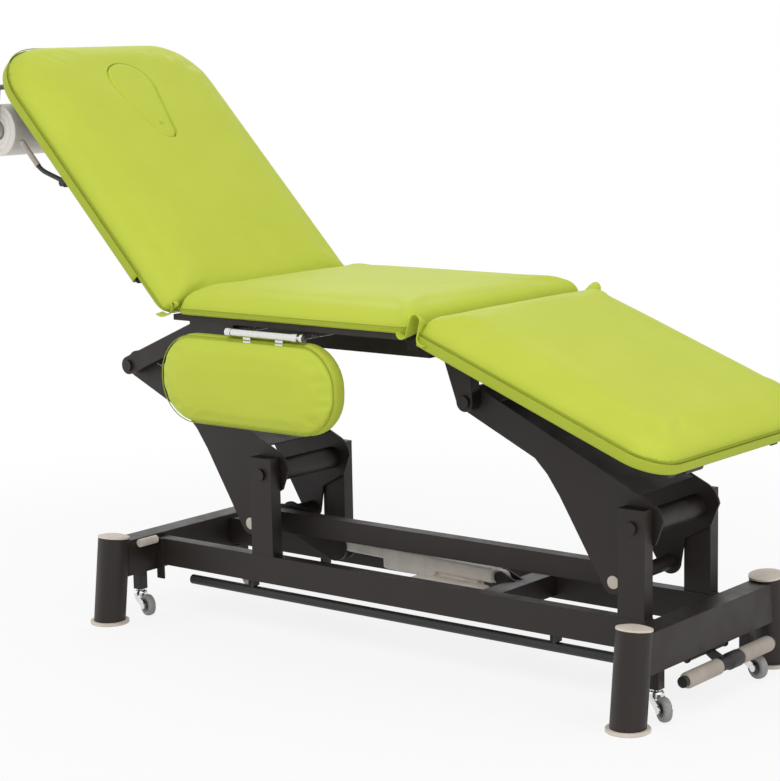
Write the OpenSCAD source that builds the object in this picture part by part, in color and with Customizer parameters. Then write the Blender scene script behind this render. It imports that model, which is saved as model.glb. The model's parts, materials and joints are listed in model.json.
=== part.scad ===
// Examination table: floor frame with four legs, a parallel-arm lift driven by
// a linear actuator, and an upper frame that carries a seat pad, a raised
// backrest and a sloping leg section. Millimetres, +X to the foot end, the near
// side is -Y, +Z up. The origin is on the floor, under the middle of the whole.

/* [Floor frame] */
// Half the distance between the leg centres along the table
leg_x = 678; // [600:1:760]
// Leg tube diameter
leg_d = 70; // [60:1:76]
// Half the distance between the leg tops across the table
leg_top_y = 247; // [220:1:270]
// How far each foot stands outside its leg top
leg_splay = 23; // [0:1:40]
// Height of a leg under its cap
leg_top_z = 188; // [182:1:230]
// Height of the floor ring under each leg
ring_h = 7; // [4:1:14]
// How far the floor ring stands out of the leg
ring_lip = 8; // [4:1:14]
// Tube size across of the end beams
beam_w = 50; // [40:1:56]
// Tube height of the end beams
beam_h = 80; // [70:1:82]
// Underside of the end beams
beam_z = 100; // [98:1:106]
// Width of the rails and uprights
rail_w = 30; // [26:1:34]
// Height of the side rails and length of an upright's section
rail_h = 60; // [50:1:64]
// Underside of the side rails
rail_z = 111; // [109:1:116]
// Outer face of the rails and uprights from the middle
rail_face_y = 137; // [130:1:144]
// Centre of the cross member that holds the actuator
cross_x = 240; // [232:1:250]
// Square size of the cross member
cross_s = 46; // [40:1:50]

/* [Lift] */
// Head pivot of the lift arms on the uprights
pivot_head_x = -336; // [-346:1:-326]
// Foot pivot of the lift arms on the uprights
pivot_foot_x = 601; // [595:1:605]
// Height of the lower pivots
pivot_z = 349; // [340:1:356]
// Reach of a lift arm towards the head
arm_reach = 389; // [380:1:396]
// Rise of a lift arm
arm_rise = 207; // [200:1:214]
// Tie bar pivot behind the lower pivot
tie_back = 60; // [56:1:64]
// Tie bar pivot below the lower pivot
tie_drop = 120; // [114:1:126]
// Thickness of the arm side plates
plate_t = 5; // [4:0.5:6]
// Height of the tie bar
tie_h = 45; // [38:1:48]
// Thickness of the tie bar
tie_t = 30; // [24:1:32]
// Middle of the tie bar across the table
tie_y = -40; // [-46:1:-34]

/* [Actuator] */
// Middle of the actuator across the table
act_y = 15; // [11:1:19]
// Rod pin ahead of the tie pivot
lever_reach = 150; // [144:1:156]
// Rod pin below the tie pivot
lever_drop = 50; // [44:1:56]
// Fixed pin ahead of the cross member's face
clevis_reach = 22; // [20:1:26]
// Height of the fixed pin
clevis_z = 167; // [162:1:172]
// Rod diameter
act_rod_d = 16; // [14:1:17]

/* [Upper frame] */
// Underside of the seat rails
deck_z = 637.7; // [630.7:1:639.7]
// Head end of the seat rails
deck_head_x = -530; // [-536:1:-520]
// Foot end of the seat rails
deck_foot_x = 128; // [122:1:132]
// Thickness of the boards under the pads
board_t = 12; // [9:1:14]
// Width of the boards
board_w = 600; // [580:1:608]
// Width over the pads
pad_w = 620; // [614:1:640]
// Pad thickness at its shoulders
pad_t = 54; // [50:1:58]
// Crown of a pad above its shoulders
pad_crown = 8; // [4:1:12]
// Backrest hinge along the table
back_hinge_x = -440; // [-446:1:-434]
// Leg section hinge along the table
leg_hinge_x = 212; // [208:1:216]

/* [Backrest and leg section] */
// Backrest slope
back_angle = 46.5; // [30:0.5:60]
// Backrest length from its hinge
back_len = 734; // [700:1:760]
// Leg section slope
leg_angle = 21; // [10:0.5:24]
// Leg section length from its hinge
leg_len = 589; // [570:1:600]
// Corner radius of the backrest's top end
back_corner = 140; // [110:1:160]
// Corner radius of the leg section's end
leg_corner = 65; // [50:1:90]
// Middle of the face hole's wide end above the hinge
egg_wide_v = 573; // [560:1:590]
// Middle of the face hole's narrow end above the hinge
egg_narrow_v = 440; // [430:1:460]
// Radius of the wide end
egg_wide_r = 66; // [56:1:72]
// Radius of the narrow end
egg_narrow_r = 34; // [28:1:40]
// Middle of the face hole across the pad
egg_y = -5; // [-12:1:8]
// Paper roll axis above the hinge
roll_v = 621; // [612:1:630]
// Paper roll axis behind the pad's middle
roll_n = -152; // [-158:1:-146]
// Paper roll diameter
roll_d = 116; // [90:1:118]
// Paper roll length
roll_len = 530; // [480:1:540]

/* [Armrest] */
// Head end of the armrest
armrest_x = -430; // [-440:1:-420]
// Armrest length
armrest_len = 455; // [440:1:470]
// Armrest height as it hangs
armrest_h = 187; // [170:1:189]
// Armrest thickness without its crown
armrest_t = 47; // [42:1:48]
// Armrest hinge from the middle of the table
armrest_y = -318; // [-324:1:-314]
// Height of the armrest hinge
armrest_z = 686; // [682:1:688]

/* [Casters and controls] */
// Wheel radius
wheel_r = 24; // [20:1:24.5]
// Wheel width
wheel_w = 18; // [14:1:22]
// Wheel centre behind its swivel
wheel_trail = 34; // [28:1:36]
// Swivel centre from the middle across the table
caster_y = 170; // [164:1:178]
// Foot bar diameter
foot_bar_d = 21; // [18:1:24]
// Pedal tube centre beyond the beam's middle
pedal_out = 37; // [36:1:44]
// Pedal pad diameter
pedal_d = 31; // [26:1:34]

/* [Hidden] */
$fn = 48;

// Clearances: parts of one body, running fits, and parts that pass each other
weld = 0.3;
run = 0.06;
pass = 1;
seat_gap = 0.3;
cap_gap = 0.15;
cap_t = 0.7;
cut = 3;

// Floor frame
inner_y = rail_face_y - rail_w;
beam_in = leg_x - beam_w / 2;
beam_out = leg_x + beam_w / 2;
beam_top = beam_z + beam_h;
rail_top = rail_z + rail_h;
upright_over = 36;
upright_top = pivot_z + upright_over;
pin_r = 10;
lean = atan(leg_splay / leg_top_z);
cap_h = 7;
cap_dome = 3;
pad_disc_r = 10;
pad_disc_h = 3;
lug_x = beam_in - rail_h * 0.35;
lug_t = 4;
bar_y = rail_face_y + lug_t + foot_bar_d / 2;
bar_z = 85;
bar_hinge_z = 103;
bar_lug_share = [-0.63, 0.62];
lug_w = 16;
lug_drop = 6;
bar_end_x = 560;

// Lift
arm_out = inner_y - pass;
arm_in = arm_out - plate_t;
arm_r_pivot = 54;
arm_r_top = 30;
arm_r_tie = 25;
top_tube_r = 27.5;
low_tube_r = 24;
tie_tube_r = 15;
tie_pin_r = 8;
tie_gap = 1;
pin_head_r = 13;
pin_head_t = 6;
cover_t = 3;
lever_t = 6;
lever_gap = 4;
lever_r = 34;
tie_z = pivot_z - tie_drop;
rod_pin_x = pivot_head_x - tie_back + lever_reach;
rod_pin_z = tie_z - lever_drop;
clevis_x = cross_x - cross_s / 2 - clevis_reach;
act_len = norm([rod_pin_x - clevis_x, rod_pin_z - clevis_z]);
act_tilt = atan2(rod_pin_z - clevis_z, clevis_x - rod_pin_x);

// Actuator, shares of the distance between its pins
act_block_a = 0.065;
act_block_b = 0.17;
act_motor_a = 0.39;
act_motor_b = 0.70;
act_tube_end = 0.82;
act_bore_a = 0.44;
act_rod_a = 0.56;
act_tube_r = 23;
act_slim_r = 15;
act_eye_r = 14;
act_eye_w = 16;
act_pin_r = 6;
act_slide = 0.08;
act_motor_h = 60;
act_motor_w = 52;
act_body_w = 44;

// Upper frame
deck_top = deck_z + rail_h;
board_z = deck_top + seat_gap;
pad_z = board_z + board_t;
back_hinge_z = pad_z + pad_t / 2;
leg_hinge_z = board_z;
round_r = pad_t / 2;
fold_gap = 1.5;
seat_x0 = back_hinge_x + round_r + fold_gap;
seat_x1 = leg_hinge_x - fold_gap;
board_gap = 14;
top_pin_z = pivot_z + arm_rise;
head_pin_x = pivot_head_x - arm_reach;
foot_pin_x = pivot_foot_x - arm_reach;
side_tube = 25;
side_y = 180;
side_h = 30;
ear_t = 6;
ear_y = 166;
ear_r = 12;
ear_pin_r = 5;
ear_gap = 1;
leg_ear_r = 10.5;
deck_cross_w = 30;
deck_cross_h = 40;

// Pads
side_shoulder = 46;
side_band = 10;
fold_shoulder = 24;
fold_band = 22;
tuck = 4;
crown_share = 0.89;
level_count = 9;
crown_count = 5;
corner_count = 10;
small_corner = 26;
hole_gap = 1.5;

// Armrest
arm_bar_w = 14;
arm_bar_h = 9;
arm_pin_r = 4;
arm_tube_r = 8;
armrest_top = armrest_z - arm_tube_r - cut;
armrest_behind = 33;
armrest_back_y = armrest_y + armrest_behind;
armrest_corner = 80;
armrest_soft = 0.5;
tab_w = 20;
tab_t = 6;
tab_deep = 18;
tab_share = [0.49, 0.68];
arm_bar_share = [0.405, 0.796];

// Levers, springs, roll holder
grip_r = 12;
wire_r = 6;
roll_gap = 4;
hold_y = roll_len / 2 + wire_r + roll_gap;
core_r = 20.5;
spring_r = 11;
spring_rod_r = 5;

// Small parts of the floor frame
bumper_r = 9;
bumper_y = 150;
bumper_len = 52;
sleeve_s = 22;
sleeve_z = 57;
stem_r = 7;
collar_r = 10;
swivel_r = 15;
swivel_z = 41;
swivel_top = 54;
dome = 6;
fork_t = 2.5;
axle_r = 4;
axle_boss_r = 8;
wheel_z = wheel_r + 1.5;
hub_share = 0.62;
turn_head_near = -18;
turn_head_far = -25;
turn_foot_near = -34;
turn_foot_far = -20;
ear_w = 5;
small_pin_r = 3;
end_lug_w = 21;
bar_lug_x = [-377, 418];
pedal_shaft_z = 88;
pedal_z = 67;
shaft_r = 6;
pedal_lug_y = [-62, 80];
pedal_near = [-140, 10];
pedal_far = [55, 205];
pedal_clamp_y = [14, 51];
pedal_tube_r = 11;

// Arm outline, shares of its reach and rise
arc_steps = 16;
knee_angle = 12;
tip_angles = [-15, -148];
knee_shares = [[0.09, -0.164], [-0.067, -0.329]];
edge_shares = [[-0.47, 0.17], [-0.545, 0.367], [-0.62, 0.507]];
cover_shares = [0.88, 0.07];
act_slim_a = 0.75;
bracket_r = 20;
head_bracket_x = -520;
head_bracket_z = 646;
hanger_shares = [0.3, 0.5, 0.12];

// Upper frame, backrest and leg section details
deck_back_x = -400;
deck_mid_x = -150;
seat_board_x = -420;
leg_ear_z = leg_hinge_z - 23;
spring_eye_r = 12;
spring_eye_w = 14;
spring_pin_r = 4;
spring_lug_y = 12;
spring_plate_r = 22;
spring_body_share = 0.6;
back_rod_share = 0.37;
leg_rod_share = 0.4;
back_spring_a = [-424, 640];
leg_spring_a = [120, 640];
back_spring_v = 150;
back_spring_n = -98;
leg_spring_v = 140;
leg_spring_n = -30;
back_frame_v = 60;
back_cross_v = 108;
back_cross_share = 0.5;
back_board_v = 80;
ear_knee_v = 30;
ear_knee_n = -54;
notch_y = 160;
notch_w = 25;
notch_v = 48;
notch_n = 16;
plug_shares = [0.97, 0.6];
leg_frame_v = 25;
leg_cross_v = 90;
leg_cross_share = 0.67;
leg_cross_h = 15;
leg_knee_n = 16;
handle_t = 10;
handle_v = 384;
handle_n = -60;
handle_y = 280;
grip_v = 458;
grip_n = -100;
grip_len = 82;
leg_handle_v = leg_len * 0.849;
leg_handle_n = 16;
leg_handle_y = 140;
leg_bar_v = leg_len * 0.961;
leg_bar_r = 8;
leg_bar_half = 30;

// Placing of the whole over the origin
roll_low_x = back_hinge_x - roll_v * cos(back_angle) + roll_n * sin(back_angle) - roll_d / 2;
leg_shape = pad_points(leg_len - fold_gap, pad_w / 2, pad_t, pad_crown, "fold", "side",
    small_corner, leg_corner);
leg_tip = [for (p = leg_shape) (p[0] + fold_gap) * cos(leg_angle) + (p[2] + board_t) * sin(leg_angle)];
leg_high_x = leg_hinge_x + max(leg_tip);
armrest_front = armrest_back_y - armrest_t - pad_crown;
mid_x = (roll_low_x + leg_high_x) / 2;
ring_far_y = leg_top_y + leg_splay * (leg_top_z - ring_h) / leg_top_z + leg_d / 2 + ring_lip;
mid_y = (armrest_front + max(pad_w / 2, ring_far_y)) / 2;

// Colours
lime = [0.74, 0.80, 0.33];
brown = [0.19, 0.165, 0.15];
grey = [0.70, 0.66, 0.62];
pale = [0.80, 0.77, 0.73];
steel = [0.80, 0.80, 0.82];
dark = [0.10, 0.10, 0.10];
white = [0.95, 0.95, 0.94];
tyre = [0.55, 0.55, 0.56];
ply = [0.22, 0.19, 0.17];

// Helpers

// Puts everything over the origin.
module placed() {
    translate([-mid_x, -mid_y, 0])
        children();
}

// A box between two corners.
module block(low, high) {
    translate(low)
        cube(high - low);
}

// A cylinder along Y between two places.
module rod_y(x, z, r, y0, y1) {
    translate([x, y0, z])
        rotate([-90, 0, 0])
            cylinder(r = r, h = y1 - y0);
}

// A cylinder along X between two places.
module rod_x(y, z, r, x0, x1) {
    translate([x0, y, z])
        rotate([0, 90, 0])
            cylinder(r = r, h = x1 - x0);
}

// Children and their mirror image on the far side.
module both_sides() {
    children();
    mirror([0, 1, 0])
        children();
}

// Children and their mirror image at the head end.
module both_ends() {
    children();
    mirror([1, 0, 0])
        children();
}

// Points of an arc about a centre, from one angle to another.
function arc(centre, r, a0, a1) = [for (k = [0 : arc_steps]) let (a = a0 + (a1 - a0) * k / arc_steps)
    centre + r * [cos(a), sin(a)]];

// A flat bar of round-ended outline in the XZ plane, between two Y places.
module link(a, ra, b, rb, y0, y1) {
    d = norm(b - a);
    turn = atan2(b[1] - a[1], b[0] - a[0]);
    side = acos((ra - rb) / d);
    translate([0, y1, 0])
        rotate([90, 0, 0])
            linear_extrude(y1 - y0)
                union() {
                    translate(a)
                        circle(r = ra);
                    translate(b)
                        circle(r = rb);
                    polygon([
                        a + ra * [cos(turn + side), sin(turn + side)],
                        a + ra * [cos(turn - side), sin(turn - side)],
                        b + rb * [cos(turn - side), sin(turn - side)],
                        b + rb * [cos(turn + side), sin(turn + side)]
                    ]);
                }
}

// A plate in the XZ plane from an outline, between two Y places.
module plate_xz(y0, y1) {
    translate([0, y1, 0])
        rotate([90, 0, 0])
            linear_extrude(y1 - y0)
                children();
}

// Outline of a round-ended bar through three points that turns left at the middle one.
module bent_bar(a, b, c, r) {
    first = atan2(b[1] - a[1], b[0] - a[0]);
    second = atan2(c[1] - b[1], c[0] - b[0]);
    middle = (first + second) / 2 + 90;
    polygon(concat(
        arc(a, r, first + 90, first + 270),
        arc(b, r, first - 90, second - 90),
        arc(c, r, second - 90, second + 90),
        [b + r / cos((second - first) / 2) * [cos(middle), sin(middle)]]));
}

// The backrest's own space: along it, across, and out of its front.
module on_backrest() {
    translate([back_hinge_x, 0, back_hinge_z])
        rotate([0, back_angle, 0])
            mirror([1, 0, 0])
                children();
}

// The leg section's own space, from the hinge under its board.
module on_leg() {
    translate([leg_hinge_x, 0, leg_hinge_z])
        rotate([0, leg_angle, 0])
            children();
}

// Pads

// Height of each ring of a pad: close together near the shoulder.
function level(k, top) = top * sin(90 * k / level_count);

// How far a rounded shoulder has drawn in at a height.
function drawn(h, start, width, top) =
    h <= start ? 0 : width * (1 - sqrt(max(0, 1 - pow((h - start) / (top - start), 2))));

// How far the first end has drawn in: a half round for a rolled end.
function end_in(h, top, kind, shoulder) =
    kind == "roll" ? top / 2 - sqrt(max(0, pow(top / 2, 2) - pow(h - top / 2, 2))) :
    kind == "fold" ? drawn(h, fold_band, fold_shoulder, top) : drawn(h, side_band, shoulder, top);

// One ring of a pad: a rectangle with rounded corners, drawn in on its sides.
function ring(x0, x1, half, r0, r1, z) = concat(
    [for (k = [0 : corner_count]) let (a = 180 + 90 * k / corner_count)
        [x0 + r0 + r0 * cos(a), -half + r0 + r0 * sin(a), z]],
    [for (k = [0 : corner_count]) let (a = 270 + 90 * k / corner_count)
        [x1 - r1 + r1 * cos(a), -half + r1 + r1 * sin(a), z]],
    [for (k = [0 : corner_count]) let (a = 90 * k / corner_count)
        [x1 - r1 + r1 * cos(a), half - r1 + r1 * sin(a), z]],
    [for (k = [0 : corner_count]) let (a = 90 + 90 * k / corner_count)
        [x0 + r0 + r0 * cos(a), half - r0 + r0 * sin(a), z]]);

ring_size = 4 * (corner_count + 1);

// All rings of a pad, from its underside to the middle of its crown. The first
// and last ends are each a side, a fold or a roll, and soft scales shoulders.
function pad_points(length, half, top, crown, kind, last, r0, r1, soft = 1) = let (
    shoulder = side_shoulder * soft,
    far_in = (half - shoulder) * crown_share)
    [for (k = [0 : level_count]) let (
        h = level(k, top),
        t = k == 0 ? tuck : 0,
        a = end_in(h, top, kind, shoulder) + (kind == "roll" ? 0 : t),
        b = end_in(h, top, last, shoulder) + t,
        s = drawn(h, side_band, shoulder, top) + t)
        each ring(a, length - b, half - s, max(tuck, r0 - a / 2), max(tuck, r1 - b), h),
    for (k = [1 : crown_count]) let (
        share = k / crown_count,
        far = far_in * share,
        h = top + crown * (1 - pow(1 - share, 2)),
        a = end_in(top, top, kind, shoulder) + far,
        b = end_in(top, top, last, shoulder) + far,
        s = shoulder + far)
        each ring(a, length - b, half - s, max(tuck, r0 - shoulder - far / 2),
            max(tuck, r1 - shoulder - far / 2), h)];

// Closes rings of equal size into a solid.
module skin(points, size) {
    count = len(points) / size;
    sides = [for (j = [0 : count - 2]) for (i = [0 : size - 1]) let (
        a = j * size + i,
        b = j * size + (i + 1) % size)
        each [[a, b + size, b], [a, a + size, b + size]]];
    low = [for (i = [1 : size - 2]) [0, i, i + 1]];
    high = [for (i = [1 : size - 2]) let (n = (count - 1) * size) [n, n + i + 1, n + i]];
    polyhedron(points, concat(sides, low, high), 8);
}

// An outline like an egg: two round ends and the straight lines that touch both.
function egg(grow) = let (
    d = egg_wide_v - egg_narrow_v,
    side = acos((egg_wide_r - egg_narrow_r) / d))
    concat(
        [for (k = [0 : 18]) let (a = -(180 - side) + 2 * (180 - side) * k / 18)
            [egg_wide_v + (egg_wide_r + grow) * cos(a), egg_y + (egg_wide_r + grow) * sin(a)]],
        [for (k = [0 : 10]) let (a = 180 - side + 2 * side * k / 10)
            [egg_narrow_v + (egg_narrow_r + grow) * cos(a), egg_y + (egg_narrow_r + grow) * sin(a)]]);

// Floor frame

// The straight axis tube of one leg, with a named allowance, from its top down.
module leg_tube(extra, z0) {
    difference() {
        translate([leg_x, leg_top_y, leg_top_z])
            rotate([lean, 0, 0])
                translate([0, 0, -leg_top_z * 2])
                    cylinder(r = leg_d / 2 + extra, h = leg_top_z * 2);
        translate([0, 0, z0 - leg_top_z * 2])
            block([0, 0, 0], [leg_x * 2, leg_top_y * 2, leg_top_z * 2]);
    }
}

// Four leg tubes that lean outwards, standing on their floor rings.
module legs() {
    color(brown)
        placed()
            both_ends()
                both_sides()
                    leg_tube(0, ring_h);
}

// Low domed caps on the leg tops.
module leg_caps() {
    r = leg_d / 2 + weld;
    color(grey)
        placed()
            both_ends()
                both_sides()
                    translate([leg_x, leg_top_y, leg_top_z])
                        rotate([lean, 0, 0])
                            rotate_extrude()
                                polygon(concat([[0, 0], [r, 0]], [for (a = [0 : 6 : 90])
                                    [(r - cap_dome) + cap_dome * cos(a) - (r - cap_dome) * (a / 90),
                                        cap_h - cap_dome + cap_dome * 2 * sin(a)]]));
}

// Flat rings the legs stand on.
module floor_rings() {
    foot_y = leg_top_y + leg_splay * (leg_top_z - ring_h) / leg_top_z;
    color(brown)
        placed()
            both_ends()
                both_sides()
                    translate([leg_x, foot_y, 0])
                        rotate_extrude()
                            polygon([[0, 0], [leg_d / 2 + ring_lip - tuck / 4, 0],
                                [leg_d / 2 + ring_lip, tuck / 4],
                                [leg_d / 2 + ring_lip, ring_h - tuck / 4],
                                [leg_d / 2 + ring_lip - tuck / 4, ring_h], [0, ring_h]]);
}

// End beams between the legs, saddled to the leg tubes.
module end_beams() {
    color(brown)
        placed()
            both_ends()
                difference() {
                    block([beam_in, -leg_top_y, beam_z], [beam_out, leg_top_y, beam_top]);
                    both_sides()
                        leg_tube(weld, ring_h);
                }
}

// Small round bumper on the head beam's inner face.
module beam_pad() {
    color(grey)
        placed()
            rod_y(-beam_in + bumper_r, beam_top - bumper_r, bumper_r, -bumper_y - bumper_len, -bumper_y);
}

// Side rails between the end beams.
module side_rails() {
    color(brown)
        placed()
            both_sides()
                block([-beam_in, inner_y, rail_z], [beam_in, rail_face_y, rail_top]);
}

// Uprights on the rails, bored for the lower pivot pins.
module uprights() {
    color(brown)
        placed()
            both_sides()
                for (x = [pivot_head_x, pivot_foot_x])
                    difference() {
                        block([x - rail_h / 2, inner_y, rail_top], [x + rail_h / 2, rail_face_y, upright_top]);
                        rod_y(x, pivot_z, pin_r + run, inner_y - cut, rail_face_y + cut);
                    }
}

// Cross member with the clevis and pin of the actuator.
module cross_member() {
    z0 = rail_z + (rail_h - cross_s) / 2;
    x0 = cross_x - cross_s / 2;
    plate = act_eye_w / 2 + pass;
    color(brown)
        placed() {
            block([x0, -inner_y, z0], [x0 + cross_s, inner_y, z0 + cross_s]);
            for (side = [-1, 1])
                link([clevis_x, clevis_z], act_eye_r, [x0 + act_eye_r, z0 + cross_s / 2], cross_s / 2,
                    act_y + side * (plate + plate_t / 2) - plate_t / 2,
                    act_y + side * (plate + plate_t / 2) + plate_t / 2);
            rod_y(clevis_x, clevis_z, act_pin_r, act_y - plate - plate_t, act_y + plate + plate_t);
        }
}

// Square sleeves under the beams that guide the caster stems.
module caster_sleeves() {
    color(brown)
        placed()
            both_ends()
                both_sides()
                    difference() {
                        block([leg_x - sleeve_s / 2, caster_y - sleeve_s / 2, sleeve_z],
                            [leg_x + sleeve_s / 2, caster_y + sleeve_s / 2, beam_z]);
                        translate([leg_x, caster_y, sleeve_z - cut])
                            cylinder(r = stem_r + run, h = beam_z - sleeve_z - pass + cut);
                    }
}

// Lugs under the rails for the foot bars, end brackets, and lugs for the pedal.
module control_lugs() {
    bar_centre = rail_face_y - rail_w / 2;
    color(brown)
        placed() {
            both_sides() {
                for (x = bar_lug_x) {
                    for (side = [-1, 1])
                        translate([x + side * (ear_w + lug_t / 2) - lug_t / 2, bar_centre, 0])
                            difference() {
                                block([0, -lug_w / 2, bar_hinge_z - lug_drop], [lug_t, lug_w / 2, rail_z]);
                            }
                    rod_x(bar_centre, bar_hinge_z, small_pin_r, x - ear_w - lug_t, x + ear_w + lug_t);
                }
                block([-beam_in, rail_face_y, bar_z - lug_drop], [-beam_in + end_lug_w, rail_face_y + lug_t, rail_top]);
            }
            for (y = pedal_lug_y)
                difference() {
                    union() {
                        block([leg_x - lug_w / 2, y, pedal_shaft_z], [leg_x + lug_w / 2, y + lug_t, beam_z]);
                        rod_y(leg_x, pedal_shaft_z, lug_w / 2, y, y + lug_t);
                    }
                    rod_y(leg_x, pedal_shaft_z, shaft_r + run, y - cut, y + lug_t + cut);
                }
        }
}

// Pins of the lower arm pivots with their outer heads.
module lower_pivot_pins() {
    color(grey)
        placed()
            for (x = [pivot_head_x, pivot_foot_x]) {
                rod_y(x, pivot_z, pin_r, -rail_face_y - pin_head_t / 2, rail_face_y + pin_head_t / 2);
                both_sides()
                    rod_y(x, pivot_z, pin_head_r, rail_face_y, rail_face_y + pin_head_t);
            }
}

// Lift

// Outline of a lift arm's side plate about its lower pivot.
module arm_outline() {
    top = [-arm_reach, arm_rise];
    tie = [-tie_back, -tie_drop];
    up = [arm_rise, arm_reach] / norm([arm_reach, arm_rise]);
    lean_up = atan2(up[1], up[0]);
    polygon(concat(
        arc(top, arm_r_top, lean_up + 180, lean_up),
        arc([0, 0], arm_r_pivot, lean_up, knee_angle),
        [for (s = knee_shares) [s[0] * arm_reach, s[1] * arm_rise]],
        arc(tie, arm_r_tie, tip_angles[0], tip_angles[1]),
        [for (s = edge_shares) [s[0] * arm_reach, s[1] * arm_rise]]));
}

// The pair of side plates of an arm whose lower pivot is at x.
module arm_plates(x) {
    both_sides()
        difference() {
            translate([x, 0, pivot_z])
                plate_xz(arm_in, arm_out)
                    arm_outline();
            rod_y(x, pivot_z, pin_r + run, arm_in - cut, arm_out + cut);
            rod_y(x - arm_reach, top_pin_z, pin_r + run, arm_in - cut, arm_out + cut);
            rod_y(x - tie_back, tie_z, tie_pin_r + run, arm_in - cut, arm_out + cut);
        }
}

// The cross tubes of an arm, bored for their pins.
module arm_tubes(x) {
    difference() {
        rod_y(x, pivot_z, low_tube_r, -arm_in, arm_in);
        rod_y(x, pivot_z, pin_r + run, -arm_in - cut, arm_in + cut);
    }
    difference() {
        rod_y(x - arm_reach, top_pin_z, top_tube_r, -arm_in, arm_in);
        rod_y(x - arm_reach, top_pin_z, pin_r + run, -arm_in - cut, arm_in + cut);
    }
    difference() {
        union() {
            rod_y(x - tie_back, tie_z, tie_tube_r, -arm_in, tie_y - tie_t / 2 - tie_gap);
            rod_y(x - tie_back, tie_z, tie_tube_r, tie_y + tie_t / 2 + tie_gap, arm_in);
        }
        rod_y(x - tie_back, tie_z, tie_pin_r + run, -arm_in - cut, arm_in + cut);
    }
}

// The cover strip along the upper edge of an arm, between its plates.
module arm_cover(x) {
    along = [-arm_reach, arm_rise] / norm([arm_reach, arm_rise]);
    up = [along[1], -along[0]];
    reach = norm([arm_reach, arm_rise]);
    a = along * reach * cover_shares[0] + up * arm_r_top;
    b = along * reach * cover_shares[1] + up * (arm_r_pivot - cover_t);
    translate([x, 0, pivot_z])
        plate_xz(-arm_in, arm_in)
            polygon([a, b, b - up * cover_t, a - up * cover_t]);
}

module head_arm_plates() {
    color(brown)
        placed()
            arm_plates(pivot_head_x);
}

module head_arm_tubes() {
    color(brown)
        placed()
            arm_tubes(pivot_head_x);
}

module head_arm_cover() {
    color(brown)
        placed()
            arm_cover(pivot_head_x);
}

// Lever plates on the head arm's tie tube that carry the actuator's rod end.
module head_arm_lever() {
    near = act_eye_w / 2 + lever_gap;
    x = pivot_head_x - tie_back;
    color(brown)
        placed()
            difference() {
                for (side = [-1, 1])
                    link([x, tie_z], tie_tube_r + plate_t * 2, [rod_pin_x, rod_pin_z], lever_r,
                        act_y + side * (near + lever_t / 2) - lever_t / 2,
                        act_y + side * (near + lever_t / 2) + lever_t / 2);
                rod_y(x, tie_z, tie_tube_r + weld, -arm_in, arm_in);
            }
}

module foot_arm_plates() {
    color(brown)
        placed()
            arm_plates(pivot_foot_x);
}

module foot_arm_tubes() {
    color(brown)
        placed()
            arm_tubes(pivot_foot_x);
}

module foot_arm_cover() {
    color(brown)
        placed()
            arm_cover(pivot_foot_x);
}

// Pins through the tie bar's two ends, with round caps outside the plates.
module tie_pins() {
    color(grey)
        placed()
            for (x = [pivot_head_x, pivot_foot_x]) {
                rod_y(x - tie_back, tie_z, tie_pin_r, -arm_out - cap_gap - cap_t / 2, arm_out + cap_gap + cap_t / 2);
                both_sides()
                    rod_y(x - tie_back, tie_z, pin_head_r, arm_out + cap_gap, arm_out + cap_gap + cap_t);
            }
}

// Tie bar that keeps both arms parallel, and the lift level.
module tie_bar() {
    x0 = pivot_head_x - tie_back;
    x1 = pivot_foot_x - tie_back;
    color(brown)
        placed()
            difference() {
                link([x0, tie_z], tie_h / 2, [x1, tie_z], tie_h / 2, tie_y - tie_t / 2, tie_y + tie_t / 2);
                for (x = [x0, x1])
                    rod_y(x, tie_z, tie_pin_r + run, tie_y - tie_t, tie_y + tie_t);
            }
}

// Actuator

// The actuator's own space: along it from the fixed pin, and across.
module on_actuator() {
    translate([clevis_x, act_y, clevis_z])
        rotate([0, act_tilt, 0])
            mirror([1, 0, 0])
                children();
}

// Housing: rear lug, end block and the bored tube that guides the rod.
module actuator_housing() {
    block_a = act_len * act_block_a;
    block_b = act_len * act_block_b;
    motor_a = act_len * act_motor_a;
    slim_a = act_len * act_slim_a;
    tube_end = act_len * act_tube_end;
    color(pale)
        placed()
            on_actuator()
                difference() {
                    union() {
                        rod_y(0, 0, act_eye_r, -act_eye_w / 2, act_eye_w / 2);
                        block([0, -act_eye_w / 2, -act_eye_r * 0.7], [block_a, act_eye_w / 2, act_eye_r * 0.7]);
                        block([block_a, -act_body_w / 2, -act_body_w / 2], [block_b, act_body_w / 2, act_body_w / 2]);
                        rod_x(0, 0, act_tube_r, block_b, motor_a);
                        rod_x(0, 0, act_slim_r, motor_a - weld, tube_end);
                        translate([act_len * act_motor_b, 0, 0])
                            rotate([0, 90, 0])
                                cylinder(r1 = act_tube_r - tuck, r2 = act_slim_r + weld, h = slim_a - act_len * act_motor_b);
                    }
                    rod_y(0, 0, act_pin_r + run, -act_eye_w, act_eye_w);
                    rod_x(0, 0, act_rod_d / 2 + act_slide, act_len * act_bore_a, tube_end + cut);
                }
}

// Motor and gear case around the slim tube.
module actuator_motor() {
    color(pale)
        placed()
            on_actuator()
                difference() {
                    hull_box(act_len * act_motor_a, act_len * act_motor_b, act_motor_w, act_motor_h, tuck);
                    rod_x(0, 0, act_slim_r + weld, act_len * act_motor_a - cut, act_len * act_motor_b + cut);
                }
}

// A box along X with rounded long edges.
module hull_box(x0, x1, w, h, r) {
    translate([x0, 0, 0])
        rotate([0, 90, 0])
            linear_extrude(x1 - x0)
                union() {
                    square([h - r * 2, w], center = true);
                    square([h, w - r * 2], center = true);
                    for (sx = [-1, 1])
                        for (sy = [-1, 1])
                            translate([sx * (h / 2 - r), sy * (w / 2 - r)])
                                circle(r = r);
                }
}

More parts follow.
